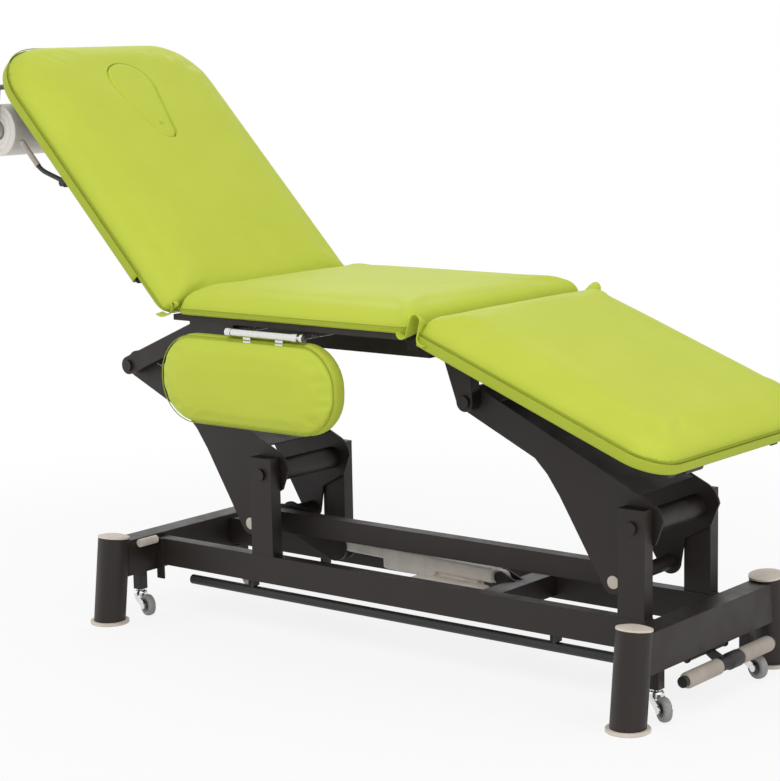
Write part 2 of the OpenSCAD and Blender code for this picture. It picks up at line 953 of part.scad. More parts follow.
// Sliding rod of the actuator.
module actuator_rod() {
    color(steel)
        placed()
            on_actuator()
                rod_x(0, 0, act_rod_d / 2, act_len * act_rod_a, act_len - act_eye_r);
}

// Eye and stub pin on the rod's end, free between the lever plates.
module actuator_eye() {
    color(dark)
        placed()
            on_actuator()
                translate([act_len, 0, 0]) {
                    rod_y(0, 0, act_eye_r, -act_eye_w / 2, act_eye_w / 2);
                    rod_y(0, 0, act_pin_r, -act_eye_w / 2 - lever_gap + pass, act_eye_w / 2 + lever_gap - pass);
                }
}

// Upper frame

// Seat rails, cross tubes, hinge ears with their pins, and spring lugs.
module seat_frame() {
    z0 = deck_top - deck_cross_h;
    inside = inner_y - weld;
    color(brown)
        placed() {
            both_sides()
                block([deck_head_x, inner_y, deck_z], [deck_foot_x, rail_face_y, deck_top]);
            for (x = [deck_back_x, deck_mid_x, deck_foot_x - deck_cross_w])
                block([x, -inside, z0], [x + deck_cross_w, inside, deck_top]);
            both_sides() {
                block([deck_back_x, rail_face_y + weld, z0], [deck_back_x + deck_cross_w, ear_y + ear_t, deck_top]);
                link([deck_back_x + deck_cross_w / 2, deck_top - ear_r], ear_r,
                    [back_hinge_x, deck_top - ear_r], ear_r, ear_y, ear_y + ear_t);
                link([back_hinge_x, deck_top - ear_r], ear_r, [back_hinge_x, back_hinge_z], ear_r, ear_y, ear_y + ear_t);
                rod_y(back_hinge_x, back_hinge_z, ear_pin_r, ear_y - pass * 2, ear_y + ear_t * 2 + pass * 2);
                block([deck_foot_x - deck_cross_w, rail_face_y + weld, z0], [deck_foot_x, ear_y + ear_t, deck_top]);
                link([deck_foot_x - deck_cross_w / 2, leg_ear_z], leg_ear_r,
                    [leg_hinge_x, leg_ear_z], leg_ear_r, ear_y, ear_y + ear_t);
                link([leg_hinge_x, leg_ear_z], leg_ear_r,
                    [leg_hinge_x, leg_hinge_z - 0.01], leg_ear_r, ear_y, ear_y + ear_t);
                rod_y(leg_hinge_x, leg_hinge_z, ear_pin_r, ear_y - pass * 2, ear_y + ear_t * 2 + pass * 2);
            }
            both_sides() {
                link([deck_back_x + deck_cross_w / 2, z0 + spring_eye_r + pass], spring_eye_r - pass * 2,
                    back_spring_a, spring_eye_r, spring_lug_y, spring_lug_y + plate_t);
                link([deck_foot_x - deck_cross_w / 2, z0 + spring_eye_r + pass], spring_eye_r - pass * 2,
                    leg_spring_a, spring_eye_r, spring_lug_y, spring_lug_y + plate_t);
            }
            for (a = [back_spring_a, leg_spring_a])
                rod_y(a[0], a[1], spring_pin_r, -spring_lug_y - plate_t, spring_lug_y + plate_t);
        }
}

// Brackets that join the seat rails to the upper pivots of the arms.
module arm_brackets() {
    color(brown)
        placed()
            both_sides() {
                difference() {
                    link([head_pin_x, top_pin_z], bracket_r, [head_bracket_x, head_bracket_z], bracket_r,
                        arm_out + pass * 2, rail_face_y - pass);
                    block([deck_head_x, 0, 0], [deck_foot_x, rail_face_y + cut, deck_top * 2]);
                    rod_y(head_pin_x, top_pin_z, pin_r + run, arm_in, rail_face_y + cut);
                }
                difference() {
                    plate_xz(arm_out + pass * 2, rail_face_y - pass)
                        union() {
                            translate([foot_pin_x, top_pin_z])
                                circle(r = bracket_r);
                            polygon([[deck_foot_x, deck_z + hanger_shares[0] * rail_h], [deck_foot_x, deck_top],
                                [foot_pin_x - bracket_r, deck_top],
                                [foot_pin_x + bracket_r / 2, deck_z + hanger_shares[1] * rail_h],
                                [foot_pin_x + bracket_r, top_pin_z], [foot_pin_x - bracket_r, top_pin_z],
                                [foot_pin_x - bracket_r * 2.6, deck_z + hanger_shares[2] * rail_h]]);
                        }
                    rod_y(foot_pin_x, top_pin_z, pin_r + run, arm_in, rail_face_y + cut);
                }
            }
}

// Pins of the upper arm pivots with their outer heads.
module upper_pivot_pins() {
    face = rail_face_y - pass;
    color(grey)
        placed()
            for (x = [head_pin_x, foot_pin_x]) {
                rod_y(x, top_pin_z, pin_r, -face - pin_head_t / 2, face + pin_head_t / 2);
                both_sides()
                    rod_y(x, top_pin_z, pin_head_r, face, face + pin_head_t);
            }
}

// Board under the seat pad.
module seat_board() {
    color(ply)
        placed()
            block([seat_board_x, -board_w / 2, board_z], [leg_hinge_x - board_gap, board_w / 2, pad_z]);
}

// Seat pad with folded ends and drawn-in long sides.
module seat_pad() {
    color(lime)
        placed()
            translate([seat_x0, 0, pad_z])
                skin(pad_points(seat_x1 - seat_x0, pad_w / 2, pad_t, pad_crown, "fold", "fold",
                    small_corner, small_corner), ring_size);
}

// Armrest

arm_bar_x = [for (s = arm_bar_share) armrest_x + s * armrest_len];

// Bars out of the near seat rail with the hinge pin across their ends.
module armrest_bracket() {
    color(steel)
        placed() {
            for (x = arm_bar_x) {
                block([x - arm_bar_w / 2, armrest_y, armrest_z - arm_bar_h / 2],
                    [x + arm_bar_w / 2, -rail_face_y, armrest_z + arm_bar_h / 2]);
                rod_x(armrest_y, armrest_z, arm_tube_r + pass, x - arm_bar_w / 2, x + arm_bar_w / 2);
            }
            rod_x(armrest_y, armrest_z, arm_pin_r, arm_bar_x[0], arm_bar_x[1] + arm_bar_w);
            rod_x(armrest_y, armrest_z, arm_tube_r + pass, arm_bar_x[1] + arm_bar_w, arm_bar_x[1] + arm_bar_w * 1.5);
        }
}

// Hinge tube of the armrest with two tabs down into the pad.
module armrest_hinge() {
    color(steel)
        placed()
            difference() {
                union() {
                    rod_x(armrest_y, armrest_z, arm_tube_r, arm_bar_x[0] + arm_bar_w / 2 + pass,
                        arm_bar_x[1] - arm_bar_w / 2 - pass);
                    for (s = tab_share)
                        armrest_tab(armrest_x + s * armrest_len, 0);
                }
                rod_x(armrest_y, armrest_z, arm_pin_r + run, arm_bar_x[0], arm_bar_x[1]);
            }
}

// One tab, or the slot for it when it grows.
module armrest_tab(x, grow) {
    block([x - grow, armrest_y - tab_t / 2 - grow, armrest_top - tab_deep - grow],
        [x + tab_w + grow, armrest_y + tab_t / 2 + grow, armrest_z]);
}

// Armrest pad hanging beside the seat.
module armrest_pad() {
    color(lime)
        placed()
            difference() {
                translate([armrest_x, armrest_back_y, armrest_top - armrest_h / 2])
                    rotate([90, 0, 0])
                        skin(pad_points(armrest_len, armrest_h / 2, armrest_t, pad_crown, "side", "side",
                            armrest_corner, armrest_corner, armrest_soft), ring_size);
                for (s = tab_share)
                    armrest_tab(armrest_x + s * armrest_len, weld);
            }
}

// Backrest

back_low = -round_r - board_t;
frame_low = back_low - side_h;

// A rounded rectangle along a section, as a flat outline.
module board_outline(x0, x1, half, r0, r1) {
    polygon([for (p = ring(x0, x1, half, r0, r1, 0)) [p[0], p[1]]]);
}

// Side and cross tubes, hinge ears, spring plates and the lever's lugs.
module backrest_frame() {
    inside = side_y - weld;
    top = back_len - board_gap * 3;
    color(brown)
        placed()
            on_backrest() {
                both_sides() {
                    block([back_frame_v, side_y, frame_low], [top, side_y + side_tube, back_low]);
                    difference() {
                        plate_xz(ear_y + ear_t + ear_gap, side_y)
                            bent_bar([0, 0], [ear_knee_v, ear_knee_n], [back_frame_v + side_h, ear_knee_n], ear_r);
                        rod_y(0, 0, ear_pin_r + run, ear_y, side_y + cut);
                    }
                }
                for (v = [back_cross_v, back_len * back_cross_share, top - side_tube])
                    block([v, -inside, frame_low], [v + side_tube, inside, back_low]);
                both_sides()
                    link([back_cross_v + side_tube / 2, frame_low + spring_eye_r + pass], spring_eye_r - pass * 2,
                        [back_spring_v, back_spring_n], spring_plate_r, spring_lug_y, spring_lug_y + plate_t);
                for (side = [-1, 1])
                    translate([0, -handle_y + side * (handle_t + lug_t / 2 + pass), 0]) {
                        block([handle_v - lug_w / 2, -lug_t / 2, handle_n], [handle_v + lug_w / 2, lug_t / 2, back_low]);
                        rod_y(handle_v, handle_n, lug_w / 2, -lug_t / 2, lug_t / 2);
                    }
                rod_y(handle_v, handle_n, small_pin_r, -handle_y - handle_t - lug_t, -handle_y + handle_t + lug_t);
            }
}

// Board under the backrest pad, open under the face hole.
module backrest_board() {
    color(ply)
        placed()
            on_backrest()
                translate([0, 0, back_low])
                    linear_extrude(board_t)
                        difference() {
                            board_outline(back_board_v, back_len - board_gap, board_w / 2, tuck,
                                back_corner - board_gap);
                            polygon(egg(-board_t));
                        }
}

// Backrest pad: half round at the hinge, crowned, with the face hole cut through.
module backrest_pad() {
    color(lime)
        placed()
            on_backrest()
                difference() {
                    translate([-round_r, 0, -round_r])
                        skin(pad_points(back_len + round_r, pad_w / 2, pad_t, pad_crown, "roll", "side",
                            small_corner, back_corner), ring_size);
                    translate([0, 0, -round_r - cut])
                        linear_extrude(pad_t * 2)
                            polygon(egg(0));
                    both_sides()
                        block([-round_r - cut, notch_y, -round_r - cut], [notch_v, notch_y + notch_w, notch_n]);
                }
}

// Plug that closes the face hole, crowned like the pad.
module face_hole_plug() {
    size = len(egg(0));
    heights = [0, pad_t * plug_shares[0], pad_t + pad_crown * plug_shares[1], pad_t + pad_crown];
    color(lime)
        placed()
            on_backrest()
                translate([0, 0, -round_r])
                    skin([for (k = [0 : 3]) each [for (p = egg(-hole_gap - (k == 0 ? tuck / 2 :
                        k == 2 ? tuck * 1.5 : k == 3 ? tuck * 5 : 0))) [p[0], p[1], heights[k]]]], size);
}

// Paper roll holder: a rod across the back and an arm to each end of the roll.
module paper_roll_holder() {
    rod_n = frame_low - wire_r;
    rod_v = back_len - board_gap * 3 - side_tube / 2;
    color(steel)
        placed()
            on_backrest() {
                rod_y(rod_v, rod_n, wire_r, -hold_y, hold_y);
                both_sides() {
                    link([rod_v, rod_n], wire_r, [roll_v, roll_n], wire_r, hold_y - wire_r, hold_y + wire_r);
                    rod_y(roll_v, roll_n, core_r - weld, roll_len / 2 - lug_w, hold_y - wire_r);
                }
            }
}

// Paper roll, hollow through its core.
module paper_roll() {
    color(white)
        placed()
            on_backrest()
                difference() {
                    rod_y(roll_v, roll_n, roll_d / 2, -roll_len / 2, roll_len / 2);
                    rod_y(roll_v, roll_n, core_r, -roll_len / 2 - cut, roll_len / 2 + cut);
                }
}

// Release lever under the backrest: eye, cranked arm and round grip.
module backrest_lever() {
    color(dark)
        placed()
            on_backrest()
                translate([0, -handle_y, 0])
                    difference() {
                        union() {
                            link([handle_v, handle_n], lug_w / 2, [grip_v, grip_n], wire_r, -handle_t / 2, handle_t / 2);
                            translate([grip_v, 0, grip_n])
                                rotate([0, 90, 0])
                                    rotate_extrude()
                                        polygon([[0, 0], [wire_r, 0], [grip_r, tuck * 2],
                                            [grip_r, grip_len - tuck], [grip_r - tuck, grip_len], [0, grip_len]]);
                        }
                        rod_y(handle_v, handle_n, small_pin_r + run, -handle_t, handle_t);
                    }
}

// A spring's cylinder from pivot a towards pivot b, bored for its rod.
module spring_body(a, b, share) {
    span = norm(b - a);
    translate([a[0], 0, a[1]])
        rotate([0, atan2(a[1] - b[1], b[0] - a[0]), 0])
            difference() {
                union() {
                    rod_y(0, 0, spring_eye_r - pass, -spring_eye_w / 2, spring_eye_w / 2);
                    rod_x(0, 0, spring_r, spring_eye_r / 2, span * share);
                }
                rod_y(0, 0, spring_pin_r + run, -spring_eye_w, spring_eye_w);
                rod_x(0, 0, spring_rod_r + act_slide, spring_eye_r * 2, span * share + cut);
            }
}

// The rod of a spring with its free eye at pivot b.
module spring_rod(a, b, share) {
    span = norm(b - a);
    translate([a[0], 0, a[1]])
        rotate([0, atan2(a[1] - b[1], b[0] - a[0]), 0]) {
            rod_x(0, 0, spring_rod_r, span * share, span - spring_eye_r / 2);
            rod_y(span, 0, spring_eye_r - pass, -spring_eye_w / 2, spring_eye_w / 2);
        }
}

back_spring_b = [back_hinge_x - back_spring_v * cos(back_angle) + back_spring_n * sin(back_angle),
    back_hinge_z + back_spring_v * sin(back_angle) + back_spring_n * cos(back_angle)];
leg_spring_b = [leg_hinge_x + leg_spring_v * cos(leg_angle) + leg_spring_n * sin(leg_angle),
    leg_hinge_z - leg_spring_v * sin(leg_angle) + leg_spring_n * cos(leg_angle)];

module backrest_spring_body() {
    color(dark)
        placed()
            spring_body(back_spring_a, back_spring_b, spring_body_share);
}

module backrest_spring_rod() {
    color(steel)
        placed()
            spring_rod(back_spring_a, back_spring_b, back_rod_share);
}

// Leg section

// Side and cross tubes, hinge ears, spring plates and the lever's lugs.
module leg_frame() {
    inside = side_y - weld;
    color(brown)
        placed()
            on_leg() {
                both_sides() {
                    block([leg_frame_v, side_y, -side_h], [leg_len - side_h, side_y + side_tube, 0]);
                    difference() {
                        union() {
                            link([0, 0], leg_ear_r, [0, -leg_knee_n], leg_ear_r, ear_y + ear_t + ear_gap, side_y);
                            link([0, -leg_knee_n], leg_ear_r, [leg_frame_v + side_h, -leg_knee_n], leg_ear_r,
                                ear_y + ear_t + ear_gap, side_y);
                        }
                        rod_y(0, 0, ear_pin_r + run, ear_y, side_y + cut);
                    }
                }
                for (v = [leg_cross_v, leg_len * leg_cross_share])
                    block([v, -inside, -leg_cross_h], [v + side_tube, inside, 0]);
                both_sides()
                    link([leg_cross_v + side_tube / 2, -spring_eye_r - pass], spring_eye_r - pass * 2,
                        [leg_spring_v, leg_spring_n], spring_eye_r, spring_lug_y, spring_lug_y + plate_t);
                for (side = [-1, 1])
                    translate([0, -leg_handle_y + side * (handle_t + lug_t / 2 + pass), 0]) {
                        block([leg_handle_v - lug_w / 2, -lug_t / 2, -leg_handle_n], [leg_handle_v + lug_w / 2, lug_t / 2, 0]);
                        rod_y(leg_handle_v, -leg_handle_n, lug_w / 2, -lug_t / 2, lug_t / 2);
                    }
                rod_y(leg_handle_v, -leg_handle_n, small_pin_r, -leg_handle_y - handle_t - lug_t,
                    -leg_handle_y + handle_t + lug_t);
            }
}

// Board under the leg pad.
module leg_board() {
    color(ply)
        placed()
            on_leg()
                linear_extrude(board_t)
                    board_outline(board_gap, leg_len - board_gap, board_w / 2, tuck, leg_corner - board_gap);
}

// Leg pad with a folded end at the hinge and round corners at the foot.
module leg_pad() {
    color(lime)
        placed()
            on_leg()
                translate([fold_gap, 0, board_t])
                    skin(leg_shape, ring_size);
}

// T-shaped release lever under the foot end.
module leg_lever() {
    color(dark)
        placed()
            on_leg()
                translate([0, -leg_handle_y, 0])
                    difference() {
                        union() {
                            link([leg_handle_v, -leg_handle_n], lug_w / 2, [leg_bar_v, -leg_handle_n], wire_r,
                                -handle_t / 2, handle_t / 2);
                            rod_y(leg_bar_v, -leg_handle_n, leg_bar_r, -leg_bar_half, leg_bar_half);
                        }
                        rod_y(leg_handle_v, -leg_handle_n, small_pin_r + run, -handle_t, handle_t);
                    }
}

module leg_spring_body() {
    color(dark)
        placed()
            spring_body(leg_spring_a, leg_spring_b, spring_body_share);
}

module leg_spring_rod() {
    color(steel)
        placed()
            spring_rod(leg_spring_a, leg_spring_b, leg_rod_share);
}

// Controls and casters

// A foot bar under the near rail, with the ears it swings on.
module foot_bar() {
    y = -rail_face_y + rail_w / 2;
    difference() {
        union() {
            rod_x(y, bar_z, foot_bar_d / 2, -bar_end_x, bar_end_x);
            for (x = bar_lug_x)
                block([x - ear_w + pass, y - lug_w / 2 + pass, bar_z],
                    [x + ear_w - pass, y + lug_w / 2 - pass, bar_hinge_z + lug_drop]);
        }
        for (x = bar_lug_x)
            rod_x(y, bar_hinge_z, small_pin_r + run, x - ear_w, x + ear_w);
    }
}

module foot_bar_near() {
    color(dark)
        placed()
            foot_bar();
}

module foot_bar_far() {
    color(dark)
        placed()
            mirror([0, 1, 0])
                foot_bar();
}

// Caster pedal: shaft in its lugs, lever, tube and the dark clamp.
module pedal_lever() {
    x = leg_x + pedal_out;
    color(dark)
        placed() {
            rod_y(leg_x, pedal_shaft_z, shaft_r, pedal_lug_y[0] - pass * 2, pedal_lug_y[1] + lug_t + pass * 2);
            link([leg_x, pedal_shaft_z], lug_w / 2, [x, pedal_z], pedal_tube_r, pedal_clamp_y[0], pedal_clamp_y[0] + lug_w / 2);
            rod_y(x, pedal_z, pedal_tube_r, pedal_near[0] + pass * 2, pedal_far[1] - pass * 2);
            rod_y(x, pedal_z, pedal_tube_r + pass * 2, pedal_clamp_y[0], pedal_clamp_y[1]);
        }
}

// Round pads of the pedal, domed at their ends, over the tube.
module pedal_pads() {
    x = leg_x + pedal_out;
    r = pedal_d / 2;
    color(grey)
        placed()
            for (span = [pedal_near, pedal_far])
                difference() {
                    translate([x, span[0], pedal_z])
                        rotate([-90, 0, 0])
                            rotate_extrude()
                                polygon(concat([[0, 0]],
                                    [for (a = [0 : 15 : 90]) [r - dome + dome * sin(a), dome - dome * cos(a)]],
                                    [for (a = [0 : 15 : 90]) [r - dome + dome * cos(a),
                                        span[1] - span[0] - dome + dome * sin(a)]],
                                    [[0, span[1] - span[0]]]));
                    rod_y(x, pedal_z, pedal_tube_r + run, pedal_near[0] + pass * 2, pedal_far[1] - pass * 2);
                }
}

// Stems of the four casters in their sleeves, each with a collar.
module caster_stems() {
    color(steel)
        placed()
            both_ends()
                both_sides()
                    translate([leg_x, caster_y, 0]) {
                        translate([0, 0, swivel_z])
                            cylinder(r = stem_r, h = beam_z - swivel_z - cut);
                        translate([0, 0, swivel_top + weld])
                            cylinder(r = collar_r, h = sleeve_z - swivel_top - weld * 2);
                    }
}

// A fork in its own space: the swivel head over the origin, the wheel trailing.
module fork() {
    inside = wheel_w / 2 + pass;
    difference() {
        union() {
            translate([0, 0, swivel_z])
                rotate_extrude()
                    polygon(concat([[0, 0], [swivel_r, 0]], [for (a = [0 : 10 : 90])
                        [collar_r + (swivel_r - collar_r) * cos(a),
                            swivel_top - swivel_z - dome + dome * sin(a)]], [[0, swivel_top - swivel_z]]));
            block([-inside, -inside - fork_t, swivel_z], [inside, inside + fork_t, swivel_z + fork_t]);
            both_sides()
                link([fork_t, swivel_z - fork_t], axle_boss_r, [wheel_trail, wheel_z], axle_boss_r,
                    inside, inside + fork_t);
            rod_y(wheel_trail, wheel_z, axle_r, -inside - fork_t * 2, inside + fork_t * 2);
            both_sides()
                rod_y(wheel_trail, wheel_z, axle_r * 2, inside + fork_t, inside + fork_t * 2);
        }
        translate([0, 0, swivel_z - cut * 4])
            cylinder(r = stem_r + run, h = beam_z);
    }
}

// A wheel in its fork's space, bored for the axle.
module wheel() {
    hub_r = wheel_r * hub_share;
    translate([wheel_trail, 0, wheel_z])
        rotate([90, 0, 0])
            difference() {
                rotate_extrude()
                    polygon([[0, -wheel_w / 2 + pass], [hub_r, -wheel_w / 2 + pass], [hub_r, -wheel_w / 2],
                        [wheel_r - tuck, -wheel_w / 2], [wheel_r - tuck / 3, -wheel_w / 2 + tuck / 3],
                        [wheel_r, -wheel_w / 2 + tuck], [wheel_r, wheel_w / 2 - tuck],
                        [wheel_r - tuck / 3, wheel_w / 2 - tuck / 3], [wheel_r - tuck, wheel_w / 2],
                        [hub_r, wheel_w / 2], [hub_r, wheel_w / 2 - pass], [0, wheel_w / 2 - pass]]);
                translate([0, 0, -wheel_w])
                    cylinder(r = axle_r + run, h = wheel_w * 2);
            }
}

// Moves a fork or wheel to one of the four corners, turned as it stands.
module at_corner(end, side, turn) {
    placed()
        translate([end * leg_x, side * caster_y, 0])
            rotate([0, 0, turn])
                children();
}

module fork_head_near() {
    color(steel)
        at_corner(-1, -1, turn_head_near)
            fork();
}

module fork_head_far() {
    color(steel)
        at_corner(-1, 1, turn_head_far)
            fork();
}

module fork_foot_near() {
    color(steel)
        at_corner(1, -1, turn_foot_near)
            fork();
}

module fork_foot_far() {
    color(steel)
        at_corner(1, 1, turn_foot_far)
            fork();
}

module wheel_head_near() {
    color(tyre)
        at_corner(-1, -1, turn_head_near)
            wheel();
}

module wheel_head_far() {
    color(tyre)
        at_corner(-1, 1, turn_head_far)
            wheel();
}

module wheel_foot_near() {
    color(tyre)
        at_corner(1, -1, turn_foot_near)
            wheel();
}

module wheel_foot_far() {
    color(tyre)
        at_corner(1, 1, turn_foot_far)
            wheel();
}

// Drawing

legs();
leg_caps();
floor_rings();
end_beams();
beam_pad();
side_rails();
uprights();
cross_member();
caster_sleeves();
control_lugs();
lower_pivot_pins();
head_arm_plates();
head_arm_tubes();
head_arm_cover();
head_arm_lever();
foot_arm_plates();
foot_arm_tubes();
foot_arm_cover();
tie_pins();
tie_bar();
actuator_housing();
actuator_motor();
actuator_rod();
actuator_eye();
seat_frame();
arm_brackets();
upper_pivot_pins();
seat_board();
seat_pad();
armrest_bracket();
armrest_hinge();
armrest_pad();
backrest_frame();
backrest_board();
backrest_pad();
face_hole_plug();
paper_roll_holder();
paper_roll();
backrest_lever();
backrest_spring_body();
backrest_spring_rod();
leg_frame();
leg_board();
leg_pad();
leg_lever();
leg_spring_body();
leg_spring_rod();
foot_bar_near();
foot_bar_far();
pedal_lever();
pedal_pads();
caster_stems();
fork_head_near();
fork_head_far();
fork_foot_near();
fork_foot_far();
wheel_head_near();
wheel_head_far();
wheel_foot_near();
wheel_foot_far();
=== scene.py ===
"""Looks of the examination table: upholstery, painted steel, plated parts, paper roll, floor and light."""

import json
import logging
import math
from dataclasses import dataclass, field
from enum import Enum
from typing import Any, Iterable, Optional, Sequence, Union

import bmesh
import bpy
import numpy as np
from mathutils import Matrix, Vector


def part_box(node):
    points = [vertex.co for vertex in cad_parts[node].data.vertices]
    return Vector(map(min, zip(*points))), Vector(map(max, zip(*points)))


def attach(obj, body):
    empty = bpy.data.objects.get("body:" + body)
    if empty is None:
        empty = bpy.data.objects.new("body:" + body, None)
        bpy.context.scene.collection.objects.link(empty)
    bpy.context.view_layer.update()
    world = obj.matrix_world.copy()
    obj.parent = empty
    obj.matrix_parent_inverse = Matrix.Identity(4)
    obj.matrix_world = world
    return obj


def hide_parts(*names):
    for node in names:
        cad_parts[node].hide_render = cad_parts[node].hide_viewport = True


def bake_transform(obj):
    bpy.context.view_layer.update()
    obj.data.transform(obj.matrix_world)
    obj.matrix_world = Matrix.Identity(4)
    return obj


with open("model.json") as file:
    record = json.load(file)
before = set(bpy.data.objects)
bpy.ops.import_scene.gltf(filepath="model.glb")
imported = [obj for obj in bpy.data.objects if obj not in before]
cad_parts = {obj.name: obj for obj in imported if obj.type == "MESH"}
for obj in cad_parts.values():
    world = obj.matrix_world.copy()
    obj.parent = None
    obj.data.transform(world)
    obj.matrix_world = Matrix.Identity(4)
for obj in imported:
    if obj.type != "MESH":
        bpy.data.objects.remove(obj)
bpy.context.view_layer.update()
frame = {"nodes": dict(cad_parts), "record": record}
LOG = logging.getLogger("table")

MM = 0.001
TAU = 2 * math.pi
Array = np.ndarray

# The row's origin in the drawing's own coordinates, and the driving sizes it shares with the part.
ORIGIN = (-131.602, -13.928)
BACK_HINGE = (-440.0, 737.0)
LEG_HINGE = (212.0, 698.0)
BACK_ANGLE = 46.5
LEG_ANGLE = 21.0
PAD_T = 54.0
PAD_W = 620.0
PAD_Z = 710.0
BACK_LEN = 734.0
LEG_LEN = 589.0


# Shader maths


class Signal:
    """A socket that adds Math nodes when it is used in an expression."""

    def __init__(self, paint: "Paint", socket: Any) -> None:
        """Wraps a socket of a material's node tree."""
        self.paint = paint
        self.socket = socket

    def _math(self, kind: str, a: Any, b: Any = 0.0) -> "Signal":
        """Adds one Math node on two values."""
        return self.paint.node("ShaderNodeMath", {"operation": kind}, {0: a, 1: b})

    def __add__(self, other: Any) -> "Signal":
        """self + other."""
        return self._math("ADD", self, other)

    def __radd__(self, other: Any) -> "Signal":
        """other + self."""
        return self._math("ADD", other, self)

    def __sub__(self, other: Any) -> "Signal":
        """self - other."""
        return self._math("SUBTRACT", self, other)

    def __rsub__(self, other: Any) -> "Signal":
        """other - self."""
        return self._math("SUBTRACT", other, self)

    def __mul__(self, other: Any) -> "Signal":
        """self * other."""
        return self._math("MULTIPLY", self, other)

    def __rmul__(self, other: Any) -> "Signal":
        """other * self."""
        return self._math("MULTIPLY", other, self)

    def __truediv__(self, other: Any) -> "Signal":
        """self / other."""
        return self._math("DIVIDE", self, other)

    def __rtruediv__(self, other: Any) -> "Signal":
        """other / self."""
        return self._math("DIVIDE", other, self)

    def power(self, other: Any) -> "Signal":
        """self to a power."""
        return self._math("POWER", self, other)

    def sine(self) -> "Signal":
        """Sine of self in radians."""
        return self._math("SINE", self)

    def below(self, other: Any) -> "Signal":
        """1 where self is less than other, else 0."""
        return self._math("LESS_THAN", self, other)


class Paint:
    """One material's node tree, with a method for every node it takes."""

    def __init__(self, name: str) -> None:
        """Starts an empty material with a Principled shader."""
        self.material = bpy.data.materials.new(name)
        self.material.use_nodes = True
        self.tree = self.material.node_tree
        self.shader = next(n for n in self.tree.nodes if n.type == "BSDF_PRINCIPLED")

    def node(self, kind: str, settings: dict[str, Any], inputs: dict[Any, Any], output: Any = 0) -> Signal:
        """Adds a node.

        Args:
            kind: the node's type.
            settings: its settings, such as a Math node's operation, set first.
            inputs: a value or a Signal for each of its sockets, by name or number.
            output: which output is returned.

        Returns:
            The chosen output as a Signal.
        """
        made = self.tree.nodes.new(kind)
        for key, value in settings.items():
            setattr(made, key, value)
        for key, value in inputs.items():
            if isinstance(value, Signal):
                self.tree.links.new(value.socket, made.inputs[key])
            else:
                made.inputs[key].default_value = value
        return Signal(self, made.outputs[output])

    def coords(self, which: str = "Object") -> Signal:
        """The piece's own coordinates."""
        return self.node("ShaderNodeTexCoord", {}, {}, which)

    def noise(self, scale: float, detail: float = 2.0, rough: float = 0.5,
              where: Optional[Signal] = None) -> Signal:
        """Noise from 0 to 1 at a number of cells in a metre."""
        return self.node("ShaderNodeTexNoise", {}, {"Vector": where or self.coords(), "Scale": scale,
                                                   "Detail": detail, "Roughness": rough}, 0)

    def cells(self, scale: float, feature: str = "F1", where: Optional[Signal] = None) -> Signal:
        """Distance to the nearest cell's middle or edge."""
        return self.node("ShaderNodeTexVoronoi", {"feature": feature},
                         {"Vector": where or self.coords(), "Scale": scale}, "Distance")

    def apart(self, vector: Signal) -> tuple[Signal, Signal, Signal]:
        """A vector's three numbers."""
        made = self.tree.nodes.new("ShaderNodeSeparateXYZ")
        self.tree.links.new(vector.socket, made.inputs[0])
        return tuple(Signal(self, s) for s in made.outputs)

    def step(self, fac: Signal, low: float, high: float, a: float = 0.0, b: float = 1.0) -> Signal:
        """Maps low..high to a..b smoothly."""
        return self.node("ShaderNodeMapRange", {"interpolation_type": "SMOOTHSTEP"},
                         {0: fac, 1: low, 2: high, 3: a, 4: b}, 0)

    def mix(self, fac: Any, a: Sequence[float] | Signal, b: Sequence[float] | Signal) -> Signal:
        """Mixes two colours."""
        pick = {k: (v if isinstance(v, Signal) else (*v, 1.0)) for k, v in ((6, a), (7, b))}
        return self.node("ShaderNodeMix", {"data_type": "RGBA"}, {0: fac, **pick}, 2)

    def rounded(self, radius: float) -> Signal:
        """Normals that look as if edges were rounded."""
        return self.node("ShaderNodeBevel", {"samples": 6}, {"Radius": radius}, 0)

    def bump(self, height: Signal, distance: float, strength: float = 1.0,
             normal: Optional[Signal] = None) -> Signal:
        """Normals bent by a height in metres."""
        inputs = {"Height": height, "Distance": distance, "Strength": strength}
        if normal is not None:
            inputs["Normal"] = normal
        return self.node("ShaderNodeBump", {}, inputs, 0)

    def set(self, **sockets: Any) -> "Paint":
        """Sets or links sockets of the shader; an underscore stands for a space."""
        for key, value in sockets.items():
            socket = self.shader.inputs[key.replace("_", " ")]
            if isinstance(value, Signal):
                self.tree.links.new(value.socket, socket)
            else:
                socket.default_value = value
        return self


def linear(r: int, g: int, b: int) -> tuple[float, float, float]:
    """A colour in 0..255 as the shader's own numbers."""
    def one(v: float) -> float:
        """One channel."""
        v /= 255.0
        return v / 12.92 if v <= 0.04045 else ((v + 0.055) / 1.055) ** 2.4
    return one(r), one(g), one(b)


# Finishes


